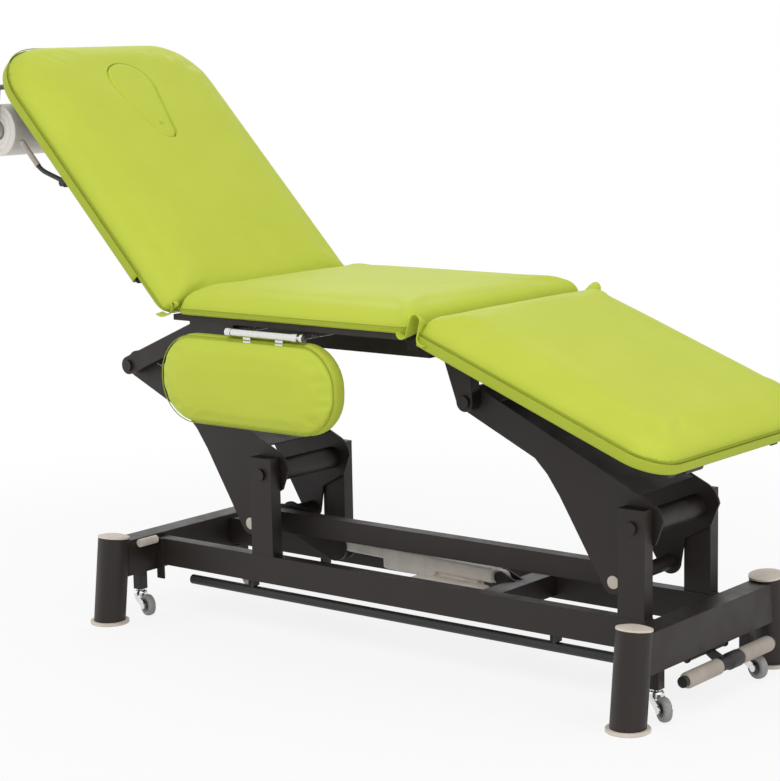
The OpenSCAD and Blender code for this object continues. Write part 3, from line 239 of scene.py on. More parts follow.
@dataclass(frozen=True)
class Vinyl:
    """Lime upholstery vinyl: a fine leather grain, faint mottling, a soft shine."""

    name: str = "lime_vinyl"
    colour: tuple[float, float, float] = linear(202, 214, 82)
    deep: tuple[float, float, float] = linear(190, 202, 72)
    rough: float = 0.5
    grain: float = 900.0
    shine: float = 0.09

    def make(self) -> bpy.types.Material:
        """Returns the vinyl's material."""
        p = Paint(self.name)
        pebbles = p.cells(self.grain)
        fine = p.noise(self.grain * 2.4, 2.0, 0.6)
        soft = p.noise(9.0, 3.0, 0.5)
        stretch = p.noise(30.0, 2.0, 0.5)
        tone = p.step(soft, 0.3, 0.7)
        colour = p.mix(1 - (tone * 0.22 + p.step(pebbles, 0.0, 0.6) * 0.3), self.colour, self.deep)
        height = pebbles * 0.7 + fine * 0.3
        bumped = p.bump(height, 0.00022, 0.55)
        bumped = p.bump(stretch, 0.0012, 0.35, bumped)
        p.set(Base_Color=colour, Roughness=p.step(fine, 0.2, 0.8, self.rough - 0.05, self.rough + 0.08),
              Normal=bumped)
        p.set(Specular_IOR_Level=self.shine)
        return p.material


@dataclass(frozen=True)
class PowderCoat:
    """Dark brown powder coat on steel: orange peel, rounded edges, a paler tone in patches of noise."""

    name: str = "brown_coat"
    colour: tuple[float, float, float] = linear(35, 28, 25)
    worn: tuple[float, float, float] = linear(45, 37, 33)
    rough: float = 0.5
    edge: float = 0.0016
    shine: float = 0.38

    def make(self) -> bpy.types.Material:
        """Returns the coat's material."""
        p = Paint(self.name)
        peel = p.noise(700.0, 2.0, 0.5)
        dust = p.noise(14.0, 4.0, 0.6)
        colour = p.mix(p.step(dust, 0.35, 0.75) * 0.5, self.colour, self.worn)
        normal = p.bump(peel, 0.0002, 0.5, p.rounded(self.edge))
        p.set(Base_Color=colour, Normal=normal,
              Roughness=p.step(dust, 0.3, 0.7, self.rough - 0.07, self.rough + 0.07))
        p.set(Specular_IOR_Level=self.shine)
        return p.material


@dataclass(frozen=True)
class Moulded:
    """Moulded plastic: fine spark texture, faint flow mottling, rounded edges."""

    name: str
    colour: tuple[float, float, float]
    rough: float = 0.55
    texture: float = 1500.0
    depth: float = 0.00012

    def make(self) -> bpy.types.Material:
        """Returns the plastic's material."""
        p = Paint(self.name)
        spark = p.noise(self.texture, 2.0, 0.6)
        flow = p.noise(22.0, 3.0, 0.5)
        dark = tuple(c * 0.86 for c in self.colour)
        colour = p.mix(p.step(flow, 0.3, 0.7), dark, self.colour)
        p.set(Base_Color=colour, Roughness=p.step(spark, 0.3, 0.7, self.rough - 0.05, self.rough + 0.08),
              Normal=p.bump(spark, self.depth, 0.6, p.rounded(0.0009)))
        return p.material


@dataclass(frozen=True)
class Plated:
    """Bright plated steel with faint polishing marks and a few dull spots."""

    name: str = "bright_plate"
    colour: tuple[float, float, float] = (0.74, 0.74, 0.73)
    rough: float = 0.16

    def make(self) -> bpy.types.Material:
        """Returns the plate's material."""
        p = Paint(self.name)
        where = p.node("ShaderNodeMapping", {}, {"Vector": p.coords(), "Scale": (60.0, 1400.0, 1400.0)}, 0)
        marks = p.noise(1.0, 2.0, 0.5, where)
        spots = p.noise(60.0, 4.0, 0.6)
        rough = p.step(spots, 0.4, 0.8, self.rough, self.rough + 0.16) + marks * 0.05
        p.set(Base_Color=p.mix(p.step(spots, 0.5, 0.9), self.colour, tuple(c * 0.8 for c in self.colour)),
              Roughness=rough, Normal=p.bump(marks, 0.00003, 0.4, p.rounded(0.0008)))
        p.set(Metallic=1.0)
        return p.material


@dataclass(frozen=True)
class BoardCover:
    """Dark woven lining stapled under a board."""

    name: str = "board_lining"
    colour: tuple[float, float, float] = linear(40, 35, 33)
    threads: float = 900.0

    def make(self) -> bpy.types.Material:
        """Returns the lining's material."""
        p = Paint(self.name)
        x, y, _ = p.apart(p.coords())
        weave = (x * self.threads * 2.2).sine() * (y * self.threads * 2.2).sine()
        pale = tuple(c * 1.7 for c in self.colour)
        mottle = p.noise(40.0, 3.0, 0.6)
        p.set(Base_Color=p.mix(p.step(weave, -0.6, 0.8) * 0.5 + mottle * 0.3, self.colour, pale),
              Roughness=p.step(mottle, 0.2, 0.8, 0.75, 0.9), Normal=p.bump(weave, 0.00012, 0.6))
        return p.material


@dataclass(frozen=True)
class WoundPaper:
    """White crepe paper: fine crimp round the roll and the turns on its ends."""

    centre: tuple[float, float]
    core: float
    name: str = "wound_paper"
    white: tuple[float, float, float] = linear(248, 243, 236)
    card: tuple[float, float, float] = linear(176, 168, 158)
    pitch: float = 0.0011

    def make(self) -> bpy.types.Material:
        """Returns the paper's material."""
        p = Paint(self.name)
        x, _, z = p.apart(p.coords())
        dx, dz = x - self.centre[0], z - self.centre[1]
        radius = (dx * dx + dz * dz).power(0.5)
        turns = (radius * (TAU / self.pitch)).sine()
        where = p.node("ShaderNodeMapping", {}, {"Vector": p.coords(), "Scale": (900.0, 120.0, 900.0)}, 0)
        crimp = p.noise(1.0, 3.0, 0.6, where)
        shade = tuple(c * 0.8 for c in self.white)
        paper = p.mix(p.step(turns, -1.0, 0.2) * 0.5 + crimp * 0.4, shade, self.white)
        card = radius.below(self.core)
        p.set(Base_Color=p.mix(card, paper, self.card), Roughness=p.step(crimp, 0.2, 0.8, 0.82, 0.95),
              Normal=p.bump(crimp * 0.6 + turns * 0.4, 0.0002, 0.6))
        return p.material


@dataclass(frozen=True)
class Tread:
    """Grey moulded tyre: satin rubber with fine scuffs."""

    name: str = "grey_tread"
    colour: tuple[float, float, float] = linear(150, 149, 147)

    def make(self) -> bpy.types.Material:
        """Returns the tyre's material."""
        p = Paint(self.name)
        scuff = p.noise(260.0, 4.0, 0.7)
        fine = p.noise(1900.0, 2.0, 0.5)
        dark = tuple(c * 0.6 for c in self.colour)
        p.set(Base_Color=p.mix(p.step(scuff, 0.45, 0.8), self.colour, dark),
              Roughness=p.step(scuff, 0.3, 0.7, 0.5, 0.68),
              Normal=p.bump(fine, 0.00012, 0.5, p.rounded(0.001)))
        return p.material


class Finish(Enum):
    """The finishes by name, made once each."""

    VINYL = Vinyl()
    # painted shade: a darker lime for the pads' lower sides and the covers' edges, standing for the shade
    # that falls there
    SIDE_SHADE = Vinyl("lime_painted_side_shade", linear(180, 193, 68), linear(168, 181, 60), 0.52)
    THREAD = Vinyl("lime_seam", linear(160, 176, 54), linear(140, 158, 46), 0.5, 1400.0)
    COAT = PowderCoat()
    GREY = Moulded("warm_grey_cap", linear(222, 210, 197))
    PALE = Moulded("pale_grey_case", linear(243, 236, 227), 0.5)
    BLACK = Moulded("black_grip", linear(30, 29, 29), 0.5, 1100.0, 0.0002)
    DARK = Moulded("dark_hub", linear(70, 70, 72), 0.45)
    TUBING = Moulded("grey_tubing", linear(176, 166, 157), 0.4)
    FOAM = Moulded("grey_pedal_sleeve", linear(176, 166, 155), 0.6, 1300.0, 0.00018)
    PLATE = Plated()
    ROD = Plated("ground_rod", (0.66, 0.66, 0.67), 0.22)
    SATIN = Moulded("satin_grey_bar", linear(150, 146, 142), 0.4)
    BOARD = BoardCover()
    TREAD = Tread()

    def made(self) -> bpy.types.Material:
        """Returns this finish's material, made on first use."""
        found = bpy.data.materials.get(self.value.name)
        return found or self.value.make()


# Mesh tools


def piece(name: str, verts: Array, faces: Iterable[Sequence[int]], finish: bpy.types.Material,
          smooth: bool = True) -> bpy.types.Object:
    """Makes an object from points in metres of the row frame.

    Args:
        name: the object's name.
        verts: points, one row each.
        faces: rows of point numbers, outward by the right hand rule.
        finish: its material.
        smooth: whether its faces shade smoothly.

    Returns:
        The linked object.
    """
    mesh = bpy.data.meshes.new(name)
    mesh.from_pydata(np.asarray(verts, float).tolist(), [], [list(map(int, f)) for f in faces])
    mesh.validate()
    mesh.update()
    mesh.materials.append(finish)
    made = bpy.data.objects.new(name, mesh)
    bpy.context.scene.collection.objects.link(made)
    if smooth:
        smoothed(made)
    return made


def grid_faces(rows: int, cols: int, wrap: bool = True) -> Array:
    """Quads over a grid of rows by cols, joined round the columns if wrap is set."""
    r, c = np.meshgrid(np.arange(rows - 1), np.arange(cols if wrap else cols - 1), indexing="ij")
    n = (c + 1) % cols
    return np.stack([r * cols + c, r * cols + n, (r + 1) * cols + n, (r + 1) * cols + c], -1).reshape(-1, 4)


def in_row(points: Array) -> Array:
    """Points in the drawing's millimetres as points in metres of the row frame."""
    return (points - (*ORIGIN, 0.0)) * MM


def at_height(flat: Array, height: float) -> Array:
    """Flat points lifted to one height."""
    return np.column_stack([flat, np.full(len(flat), height)])


def path_length(path: Array) -> float:
    """The length of a path."""
    return float(np.linalg.norm(np.diff(path, axis=0), axis=1).sum())


def smoothed(obj: bpy.types.Object) -> None:
    """Shades every face of an object smoothly."""
    obj.data.polygons.foreach_set("use_smooth", np.ones(len(obj.data.polygons), bool))


def stacked(obj: bpy.types.Object, kind: str, **settings: Any) -> None:
    """Adds one modifier with its settings and applies it to the mesh."""
    made = obj.modifiers.new(kind.lower(), kind)
    for key, value in settings.items():
        setattr(made, key, value)
    apply_all(obj)


def laid(obj: bpy.types.Object, basis: Matrix) -> None:
    """Moves a mesh into place, keeps its normals outward in a mirrored space, and shades it smoothly."""
    obj.data.transform(basis)
    if basis.determinant() < 0:
        obj.data.flip_normals()
    smoothed(obj)


def fitted(obj: bpy.types.Object, slot: str, body: str, *nodes: str) -> None:
    """Hangs a piece on the body that it rides on, hides the nodes that it replaces and logs its face count.
    """
    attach(obj, body)
    if nodes:
        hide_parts(*nodes)
    LOG.info("%s: %d faces", obj.name, len(obj.data.polygons))


def capped(grid: Array) -> tuple[Array, list]:
    """Closes a grid of rings (rings, points, 3) with one face at each end."""
    rows, cols = grid.shape[:2]
    faces = grid_faces(rows, cols).tolist()
    faces.append(list(range(cols))[::-1])
    faces.append(list(range((rows - 1) * cols, rows * cols)))
    return grid.reshape(-1, 3), faces


def tube(path: Array, radius: Union[float, Array], sides: int = 12,
         closed: bool = False) -> tuple[Array, list]:
    """Carries a circle along a path.

    Args:
        path: points in a row, in metres.
        radius: the circle's radius, or one for each point.
        sides: points round the circle.
        closed: whether the path joins its own start.

    Returns:
        The points and faces of the tube, with closed ends where the path is open.
    """
    path = np.asarray(path, float)
    if closed:
        step = np.roll(path, -1, 0) - np.roll(path, 1, 0)
    else:
        step = np.gradient(path, axis=0)
    step /= np.maximum(np.linalg.norm(step, axis=1), 1e-12)[:, None]
    ref = np.array([0.0, 0.0, 1.0]) if abs(step[:, 2]).max() < 0.95 else np.array([0.0, 1.0, 0.0])
    if abs(step @ ref).max() > 0.97:
        ref = np.array([1.0, 0.0, 0.0])
    side = np.cross(step, ref)
    side /= np.maximum(np.linalg.norm(side, axis=1), 1e-12)[:, None]
    up = np.cross(side, step)
    a = np.arange(sides) * TAU / sides
    r = np.broadcast_to(np.asarray(radius, float), (len(path),))[:, None, None]
    cos, sin = np.cos(a)[None, :, None], np.sin(a)[None, :, None]
    rings = path[:, None] + r * (cos * side[:, None] + sin * up[:, None])
    if closed:
        verts, faces = rings.reshape(-1, 3), grid_faces(len(path), sides).tolist()
        n = len(path)
        for i in range(sides):
            j = (i + 1) % sides
            faces.append([(n - 1) * sides + i, (n - 1) * sides + j, j, i])
        return verts, [f[::-1] for f in faces]
    verts, faces = capped(rings)
    return verts, [f[::-1] for f in faces]


def lathe(profile: Array, sides: int = 40) -> tuple[Array, list]:
    """Turns a profile of (radius, height) pairs about Z, closed at the axis."""
    profile = np.asarray(profile, float)
    a = np.arange(sides) * TAU / sides
    rings = np.stack([profile[:, 0, None] * np.cos(a), profile[:, 0, None] * np.sin(a),
                      np.repeat(profile[:, 1, None], sides, 1)], -1)
    return capped(rings)


def joined(parts: Sequence[tuple[Array, list]]) -> tuple[Array, list]:
    """Several sets of points and faces as one."""
    verts, faces, count = [], [], 0
    for v, f in parts:
        verts.append(v)
        faces.extend([[i + count for i in face] for face in f])
        count += len(v)
    return np.concatenate(verts), faces


def outward(obj: bpy.types.Object) -> bpy.types.Object:
    """Merges doubles and turns every face outwards."""
    bm = bmesh.new()
    bm.from_mesh(obj.data)
    bmesh.ops.remove_doubles(bm, verts=bm.verts, dist=1e-6)
    bmesh.ops.recalc_face_normals(bm, faces=bm.faces)
    bm.to_mesh(obj.data)
    bm.free()
    return obj


def row(x: float, y: float, z: float) -> Vector:
    """A place in the drawing's millimetres as a place in the row frame."""
    return Vector(((x - ORIGIN[0]) * MM, (y - ORIGIN[1]) * MM, z * MM))


def back_space() -> Matrix:
    """The backrest's own space: up it from the hinge, across the table, out of its front, in metres."""
    a = math.radians(BACK_ANGLE)
    m = Matrix.Identity(4)
    m.col[0][:3] = (-math.cos(a), 0.0, math.sin(a))
    m.col[1][:3] = (0.0, 1.0, 0.0)
    m.col[2][:3] = (math.sin(a), 0.0, math.cos(a))
    m.translation = row(BACK_HINGE[0], 0, BACK_HINGE[1])
    return m


def leg_space() -> Matrix:
    """The leg section's own space, from the hinge under its board, in metres."""
    a = math.radians(LEG_ANGLE)
    m = Matrix.Identity(4)
    m.col[0][:3] = (math.cos(a), 0.0, -math.sin(a))
    m.col[1][:3] = (0.0, 1.0, 0.0)
    m.col[2][:3] = (math.sin(a), 0.0, math.cos(a))
    m.translation = row(LEG_HINGE[0], 0, LEG_HINGE[1])
    return m


# Upholstery


class End(Enum):
    """How one end of a pad is finished."""

    SIDE = "side"
    FOLD = "fold"
    ROLL = "roll"


@dataclass
class PadShape:
    """Sizes of one upholstered pad in millimetres, in its own space with its underside at zero."""

    length: float
    half: float
    top: float = PAD_T
    crown: float = 8.0
    first: End = End.SIDE
    last: End = End.SIDE
    first_corner: float = 26.0
    last_corner: float = 26.0
    band: float = 10.0
    shoulder: float = 46.0
    fold_band: float = 22.0
    fold_shoulder: float = 24.0
    tuck: float = 4.0
    arc: int = 12
    straight: float = 12.0
    levels: int = 22
    crowns: int = 22

    def drawn(self, h: Array, start: float, width: float) -> Array:
        """How far a shoulder has drawn in: a quarter ellipse above its start."""
        t = np.clip((h - start) / (self.top - start), 0, 1)
        return width * (1 - np.sqrt(1 - t * t))

    def end_in(self, h: Array, kind: End) -> Array:
        """How far an end has drawn in at a height: half round, folded or like a side."""
        if kind is End.ROLL:
            r = self.top / 2
            return r - np.sqrt(np.maximum(r * r - (h - r) ** 2, 0))
        if kind is End.FOLD:
            return self.drawn(h, self.fold_band, self.fold_shoulder)
        return self.drawn(h, self.band, self.shoulder)

    def ring(self, x0: float, x1: float, half: float, r0: float, r1: float) -> Array:
        """A rounded rectangle with points every few millimetres along its straight sides."""
        a = np.linspace(0, math.pi / 2, self.arc)
        corner = []
        for cx, cy, r, turn in ((x0 + r0, -half + r0, r0, math.pi), (x1 - r1, -half + r1, r1, 1.5 * math.pi),
                                (x1 - r1, half - r1, r1, 0.0), (x0 + r0, half - r0, r0, 0.5 * math.pi)):
            corner.append(np.stack([cx + r * np.cos(a + turn), cy + r * np.sin(a + turn)], -1))
        counts = (self.along, self.across, self.along, self.across)
        rows = []
        for k in range(4):
            rows.append(corner[k])
            t = np.linspace(0, 1, counts[k] + 2)[1:-1, None]
            rows.append(corner[k][-1] * (1 - t) + corner[(k + 1) % 4][0] * t)
        return np.concatenate(rows)

    @property
    def along(self) -> int:
        """Points along a long side."""
        return int(self.length / self.straight)

    @property
    def across(self) -> int:
        """Points along an end."""
        return int(self.half * 2 / self.straight)

    def surface(self, drop: float = 0.0) -> Array:
        """Rings of the pad from its underside to the middle of its crown, in metres.

        The height of ring k rises as the sine of k, and each side draws in as its shoulder says;
        above the shoulders the rings step inwards and the crown rises as one minus the square of
        what is left of the way.
        """
        rings = []
        heights = self.top * np.sin(np.linspace(0, math.pi / 2, self.levels))
        for k, h in enumerate(heights):
            t = self.tuck if k == 0 else self.tuck * 0.3 if k == 1 else 0.0
            a = float(self.end_in(h, self.first)) + (0 if self.first is End.ROLL else t)
            b = float(self.end_in(h, self.last)) + t
            s = float(self.drawn(h, self.band, self.shoulder)) + t
            flat = self.ring(a, self.length - b, self.half - s, max(self.tuck, self.first_corner - a / 2),
                             max(self.tuck, self.last_corner - b))
            rings.append(at_height(flat, h - drop * h / self.top))
        far_in = (self.half - self.shoulder) * 0.96
        a0, b0 = float(self.end_in(self.top, self.first)), float(self.end_in(self.top, self.last))
        for share in np.linspace(0, 1, self.crowns + 1)[1:]:
            far = far_in * share
            flat = self.ring(a0 + far, self.length - b0 - far, self.half - self.shoulder - far,
                             max(self.tuck, self.first_corner - self.shoulder - far / 2),
                             max(self.tuck, self.last_corner - self.shoulder - far / 2))
            rings.append(at_height(flat, self.top - drop + self.crown * (1 - (1 - share) ** 2)))
        return np.stack(rings) * MM


@dataclass(frozen=True)
class Inflation:
    """Settings of the cloth simulation that swells a pad."""

    steps: int = 20
    quality: int = 4
    mass: float = 0.4
    tension: float = 18.0
    compression: float = 12.0
    shear: float = 8.0
    bending: float = 1.2

    def apply(self, cloth: bpy.types.Modifier, pressure: float, held: str) -> None:
        """Writes the settings to a cloth modifier.

        Args:
            cloth: the modifier.
            pressure: the air's pressure in the pad.
            held: the group of points that stay where they are.
        """
        values = cloth.settings
        values.quality, values.mass = self.quality, self.mass
        values.tension_stiffness = self.tension
        values.compression_stiffness = self.compression
        values.shear_stiffness = self.shear
        values.bending_stiffness = self.bending
        values.use_pressure = True
        values.uniform_pressure_force = pressure
        values.effector_weights.gravity = 0.0
        values.vertex_group_mass = held
        cloth.collision_settings.use_collision = False
        cloth.point_cache.frame_start = 1
        cloth.point_cache.frame_end = self.steps


@dataclass
class Upholstery:
    """One pad: a form that is swelled by a cloth simulation, trimmed, and sewn round its edge."""

    name: str
    node: str
    body: str
    shape: PadShape
    basis: Matrix
    voxel: float = 7.0
    pressure: float = 4.0
    cap: float = 7.0
    seam_height: float = 14.0
    welt: float = 1.1
    under: float = 2.0
    fill: float = 0.85
    # whether the lower sides get painted shade
    paints_side_shade: bool = True
    air: Inflation = Inflation()
    cutters: list[tuple[Array, list]] = field(default_factory=list)

    def form(self) -> bpy.types.Object:
        """Makes the pad's closed form, a little low so that it can swell."""
        verts, faces = capped(self.shape.surface(self.under))
        made = piece(self.name, verts, faces, Finish.VINYL.made())
        return outward(made)

    def swell(self, made: bpy.types.Object) -> None:
        """Remeshes the form, blows it up, and caps how far each point has moved."""
        stacked(made, "REMESH", mode="VOXEL", voxel_size=self.voxel * MM)
        start = corners_of(made)
        group = made.vertex_groups.new(name="held")
        low = np.nonzero(start[:, 2] < self.shape.band * MM)[0]
        group.add(low.tolist(), 1.0, "REPLACE")
        self.air.apply(made.modifiers.new("cloth", "CLOTH"), self.pressure, group.name)
        scene = bpy.context.scene
        for step in range(1, self.air.steps + 1):
            scene.frame_set(step)
        apply_all(made)
        scene.frame_set(1)
        shift = corners_of(made) - start
        size = np.linalg.norm(shift, axis=1)
        shift *= (np.minimum(size, self.cap * MM) / np.maximum(size, 1e-9))[:, None]
        out = start + shift
        out[:, 0] = np.clip(out[:, 0], 0.0, self.shape.length * MM)
        out[:, 1] = np.clip(out[:, 1], -self.shape.half * MM, self.shape.half * MM)
        out[:, 2] = np.clip(out[:, 2], 0.0, None)
        made.data.vertices.foreach_set("co", out.ravel())
        stacked(made, "SMOOTH", factor=0.5, iterations=4)
        stacked(made, "SUBSURF", levels=1, render_levels=1)

    def trim(self, made: bpy.types.Object) -> None:
        """Cuts the face hole and the hinge notches."""
        for k, (verts, faces) in enumerate(self.cutters):
            tool = outward(piece(f"{self.name}_tool{k}", verts, faces, Finish.VINYL.made()))
            stacked(made, "BOOLEAN", operation="DIFFERENCE", solver="EXACT", object=tool)
            bpy.data.objects.remove(tool)

    def band(self, made: bpy.types.Object) -> None:
        """Paints shade on the side below the seam: its faces get the darker lime of the painted side shade.
        """
        middle, normal = (triples(made.data.polygons, key) for key in ("center", "normal"))
        # faces low on the side and not facing up take the painted shade
        low = (middle[:, 2] < self.seam_height * MM) & (normal[:, 2] < 0.7)
        made.data.materials.append(Finish.SIDE_SHADE.made())
        made.data.polygons.foreach_set("material_index", low.astype(np.int32))

    def seam(self) -> bpy.types.Object:
        """A sewn welt round the pad at the seam's height, just proud of its side."""
        s = self.shape
        h = self.seam_height
        a = float(s.end_in(np.array(h), s.first))
        b = float(s.end_in(np.array(h), s.last))
        flat = s.ring(a, s.length - b, s.half - float(s.drawn(np.array(h), s.band, s.shoulder)),
                      max(s.tuck, s.first_corner - a / 2), max(s.tuck, s.last_corner - b))
        welt = tube(at_height(flat, h) * MM, self.welt * MM, 8, True)
        return outward(piece(f"{self.name}_seam", *welt, Finish.THREAD.made()))

    def build(self) -> bpy.types.Object:
        made = self.form()
        self.swell(made)
        self.trim(made)
        if self.paints_side_shade:
            self.band(made)
        for part, nodes in ((made, (self.node,)), (self.seam(), ())):
            laid(part, self.basis)
            part.data.update()
            fitted(part, "vinyl", self.body, *nodes)
        return made


def apply_all(obj: bpy.types.Object) -> None:
    """Applies every modifier of an object to its mesh."""
    graph = bpy.context.evaluated_depsgraph_get()
    graph.update()
    mesh = bpy.data.meshes.new_from_object(obj.evaluated_get(graph), depsgraph=graph)
    old, name = obj.data, obj.data.name
    obj.modifiers.clear()
    obj.data = mesh
    bpy.data.meshes.remove(old)
    mesh.name = name


def triples(items: Any, key: str) -> Array:
    """One vector of each point or face of a mesh, as rows."""
    flat = np.empty(len(items) * 3)
    items.foreach_get(key, flat)
    return flat.reshape(-1, 3)


def corners_of(obj: bpy.types.Object) -> Array:
    """The points of an object's mesh, one row each."""
    return triples(obj.data.vertices, "co")


@dataclass
class FaceHole:
    """The egg-shaped hole of the backrest and the plug that fills it, in the backrest's space."""

    wide_v: float = 573.0
    narrow_v: float = 440.0
    wide_r: float = 66.0
    narrow_r: float = 34.0
    y: float = -5.0
    gap: float = 1.5
    rim: float = 4.6
    roll: float = 2.4
    fill: float = 0.8

    def outline(self, grow: float, count: int = 120) -> Array:
        """Two round ends and the straight lines that touch both, grown or shrunk, as points in order."""
        d = self.wide_v - self.narrow_v
        side = math.acos((self.wide_r - self.narrow_r) / d)
        a = np.linspace(-(math.pi - side), math.pi - side, count // 2)
        b = np.linspace(math.pi - side, math.pi + side, count // 3)
        wide, narrow = self.wide_r + grow, self.narrow_r + grow
        big = np.column_stack([self.wide_v + wide * np.cos(a), self.y + wide * np.sin(a)])
        small = np.column_stack([self.narrow_v + narrow * np.cos(b), self.y + narrow * np.sin(b)])
        t = np.linspace(0, 1, count // 8)[1:-1, None]
        down = big[-1] * (1 - t) + small[0] * t
        back = small[-1] * (1 - t) + big[0] * t
        return np.concatenate([big, down, small, back])

    def cutter(self, lift: float) -> tuple[Array, list]:
        """A prism through the pad, in the pad's own space whose zero lies lift behind the hinge."""
        flat = self.outline(0.0) + (lift, 0.0)
        return capped(np.stack([at_height(flat, z) for z in (-20.0, 90.0)]) * MM)

    def plug(self) -> bpy.types.Object:
        """The plug: a soft crowned form with rolled edges, level with the pad."""
        levels = [(0.5, -3.0), (2.0, -1.0), (30.0, 0.0), (57.0, 0.0), (61.0, -0.9), (63.4, -3.0),
                  (64.9, -6.5), (65.8, -12.0), (66.3, -20.0), (66.6, -30.0)]
        rings = [at_height(self.outline(grow - self.gap), h - PAD_T / 2) for h, grow in levels]
        made = outward(piece("face_plug", *capped(np.stack(rings) * MM), Finish.VINYL.made()))
        stacked(made, "SUBSURF", levels=1, render_levels=1)
        return made

    def edge(self) -> bpy.types.Object:
        """A thin sewn roll on the hole's edge."""
        path = at_height(self.outline(1.6), PAD_T / 2 + self.rim) * MM
        return outward(piece("face_hole_roll", *tube(path, self.roll * MM, 10, True), Finish.VINYL.made()))

    def build(self) -> None:
        """Places the plug and the hole's rolled edge."""
        node = "face_hole_plug"
        plug = self.plug()
        for part, body, nodes in ((plug, node, (node,)), (self.edge(), "backrest", ())):
            laid(part, back_space())
            fitted(part, "vinyl", body, *nodes)


def box_cutter(low: Sequence[float], high: Sequence[float]) -> tuple[Array, list]:
    """A box between two corners in millimetres, as points and faces in metres."""
    (x0, y0, z0), (x1, y1, z1) = low, high
    flat = np.array([(x0, y0), (x1, y0), (x1, y1), (x0, y1)])
    return capped(np.stack([at_height(flat, z) for z in (z0, z1)]) * MM)


# Details


def arc_path(centre: Sequence[float], radius: float, start: float, end: float, count: int) -> Array:
    """Points on a circle: centre plus radius times cosine and sine, from start to end in degrees."""
    a = np.radians(np.linspace(start, end, count))
    return np.column_stack([centre[0] + radius * np.cos(a), centre[1] + radius * np.sin(a)])


def even(path: Array, count: int) -> Array:
    """The same path with its points at even steps of its length."""
    step = np.concatenate([[0], np.cumsum(np.linalg.norm(np.diff(path, axis=0), axis=1))])
    at = np.linspace(0, step[-1], count)
    return np.column_stack([np.interp(at, step, path[:, k]) for k in range(path.shape[1])])


def vinyl_sheet(name: str, grid: Array, finish: Finish, thick: float = 1.1) -> bpy.types.Object:
    """A sheet of vinyl on a grid of points (rows, columns, 3), as thick as is given in millimetres."""
    rows, cols = grid.shape[:2]
    made = piece(name, grid.reshape(-1, 3), grid_faces(rows, cols, False), finish.made())
    stacked(made, "SOLIDIFY", thickness=thick * MM, offset=0.0)
    return outward(made)


@dataclass
class CoverFold:
    """Slack of the cover at one end of a fold: a strip of vinyl that curls out between two cushions."""

    name: str
    profile: Array
    middle: tuple[float, float]
    side: int
    body: str
    other: Optional[str] = None
    start: tuple[float, float, float] = (0.0, 0.0, 0.0)
    end: tuple[float, float, float] = (0.0, 0.0, 0.0)
    outer: float = 315.0
    depth: float = 30.0
    shrink: float = 0.45
    wave: float = 1.2
    rows: int = 14
    cols: int = 90

    def grid(self) -> Array:
        """The strip's middle surface.

        The profile is drawn in towards its middle by a share that grows with the depth to the power
        of 1.6, and its outer edge waves a little with the sine of the way along the profile.
        """
        path = even(self.profile, self.cols)
        t = np.linspace(0, 1, self.rows)[:, None]
        s = np.linspace(0, 1, self.cols)[None, :]
        keep = 1 - self.shrink * t ** 1.6
        x = self.middle[0] + (path[None, :, 0] - self.middle[0]) * keep
        z = self.middle[1] + (path[None, :, 1] - self.middle[1]) * keep
        y = self.side * (self.outer - self.depth * t + self.wave * np.sin(s * 9.0) * (1 - t))
        return in_row(np.stack(np.broadcast_arrays(x, y, z), -1))

    def build(self) -> None:
        made = vinyl_sheet(self.name, self.grid(), Finish.VINYL)
        if self.other is None:
            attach(made, self.body)
        else:
            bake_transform(made)
        length = path_length(self.profile) * MM


def loop_over_leg() -> Array:
    """The curl between seat and leg section: round under the seat, up, over, and under the leg pad."""
    under = arc_path((196.0, 714.0), 12.0, 175, 350, 20)
    over = arc_path((229.0, 739.5), 12.0, 172, -20, 22)
    tail = arc_path((247.0, 704.5), 13.0, 160, 305, 18)
    return np.concatenate([under, over, tail])


def loop_under_back() -> Array:
    """The curl at the backrest's hinge: round its rolled end and over into a small hook."""
    roll = arc_path(BACK_HINGE, 32.0, -122, -12, 30)
    hook = arc_path((-405.0, 731.5), 6.0, 150, -50, 16)
    return np.concatenate([roll, hook])


def cover_folds() -> list[CoverFold]:
    """The four ends of the two folds."""
    start, end = row(206, 0, 700), row(236, 0, 700)
    folds = []
    for side, word in ((-1, "near"), (1, "far")):
        folds.append(CoverFold(f"leg_fold_{word}", loop_over_leg(), (222.0, 722.0), side, "upper_frame",
                               "leg_section", tuple(start), tuple(end)))
        folds.append(CoverFold(f"back_fold_{word}", loop_under_back(), (-428.0, 728.0), side, "upper_frame",
                               shrink=0.2, depth=16.0))
    return folds


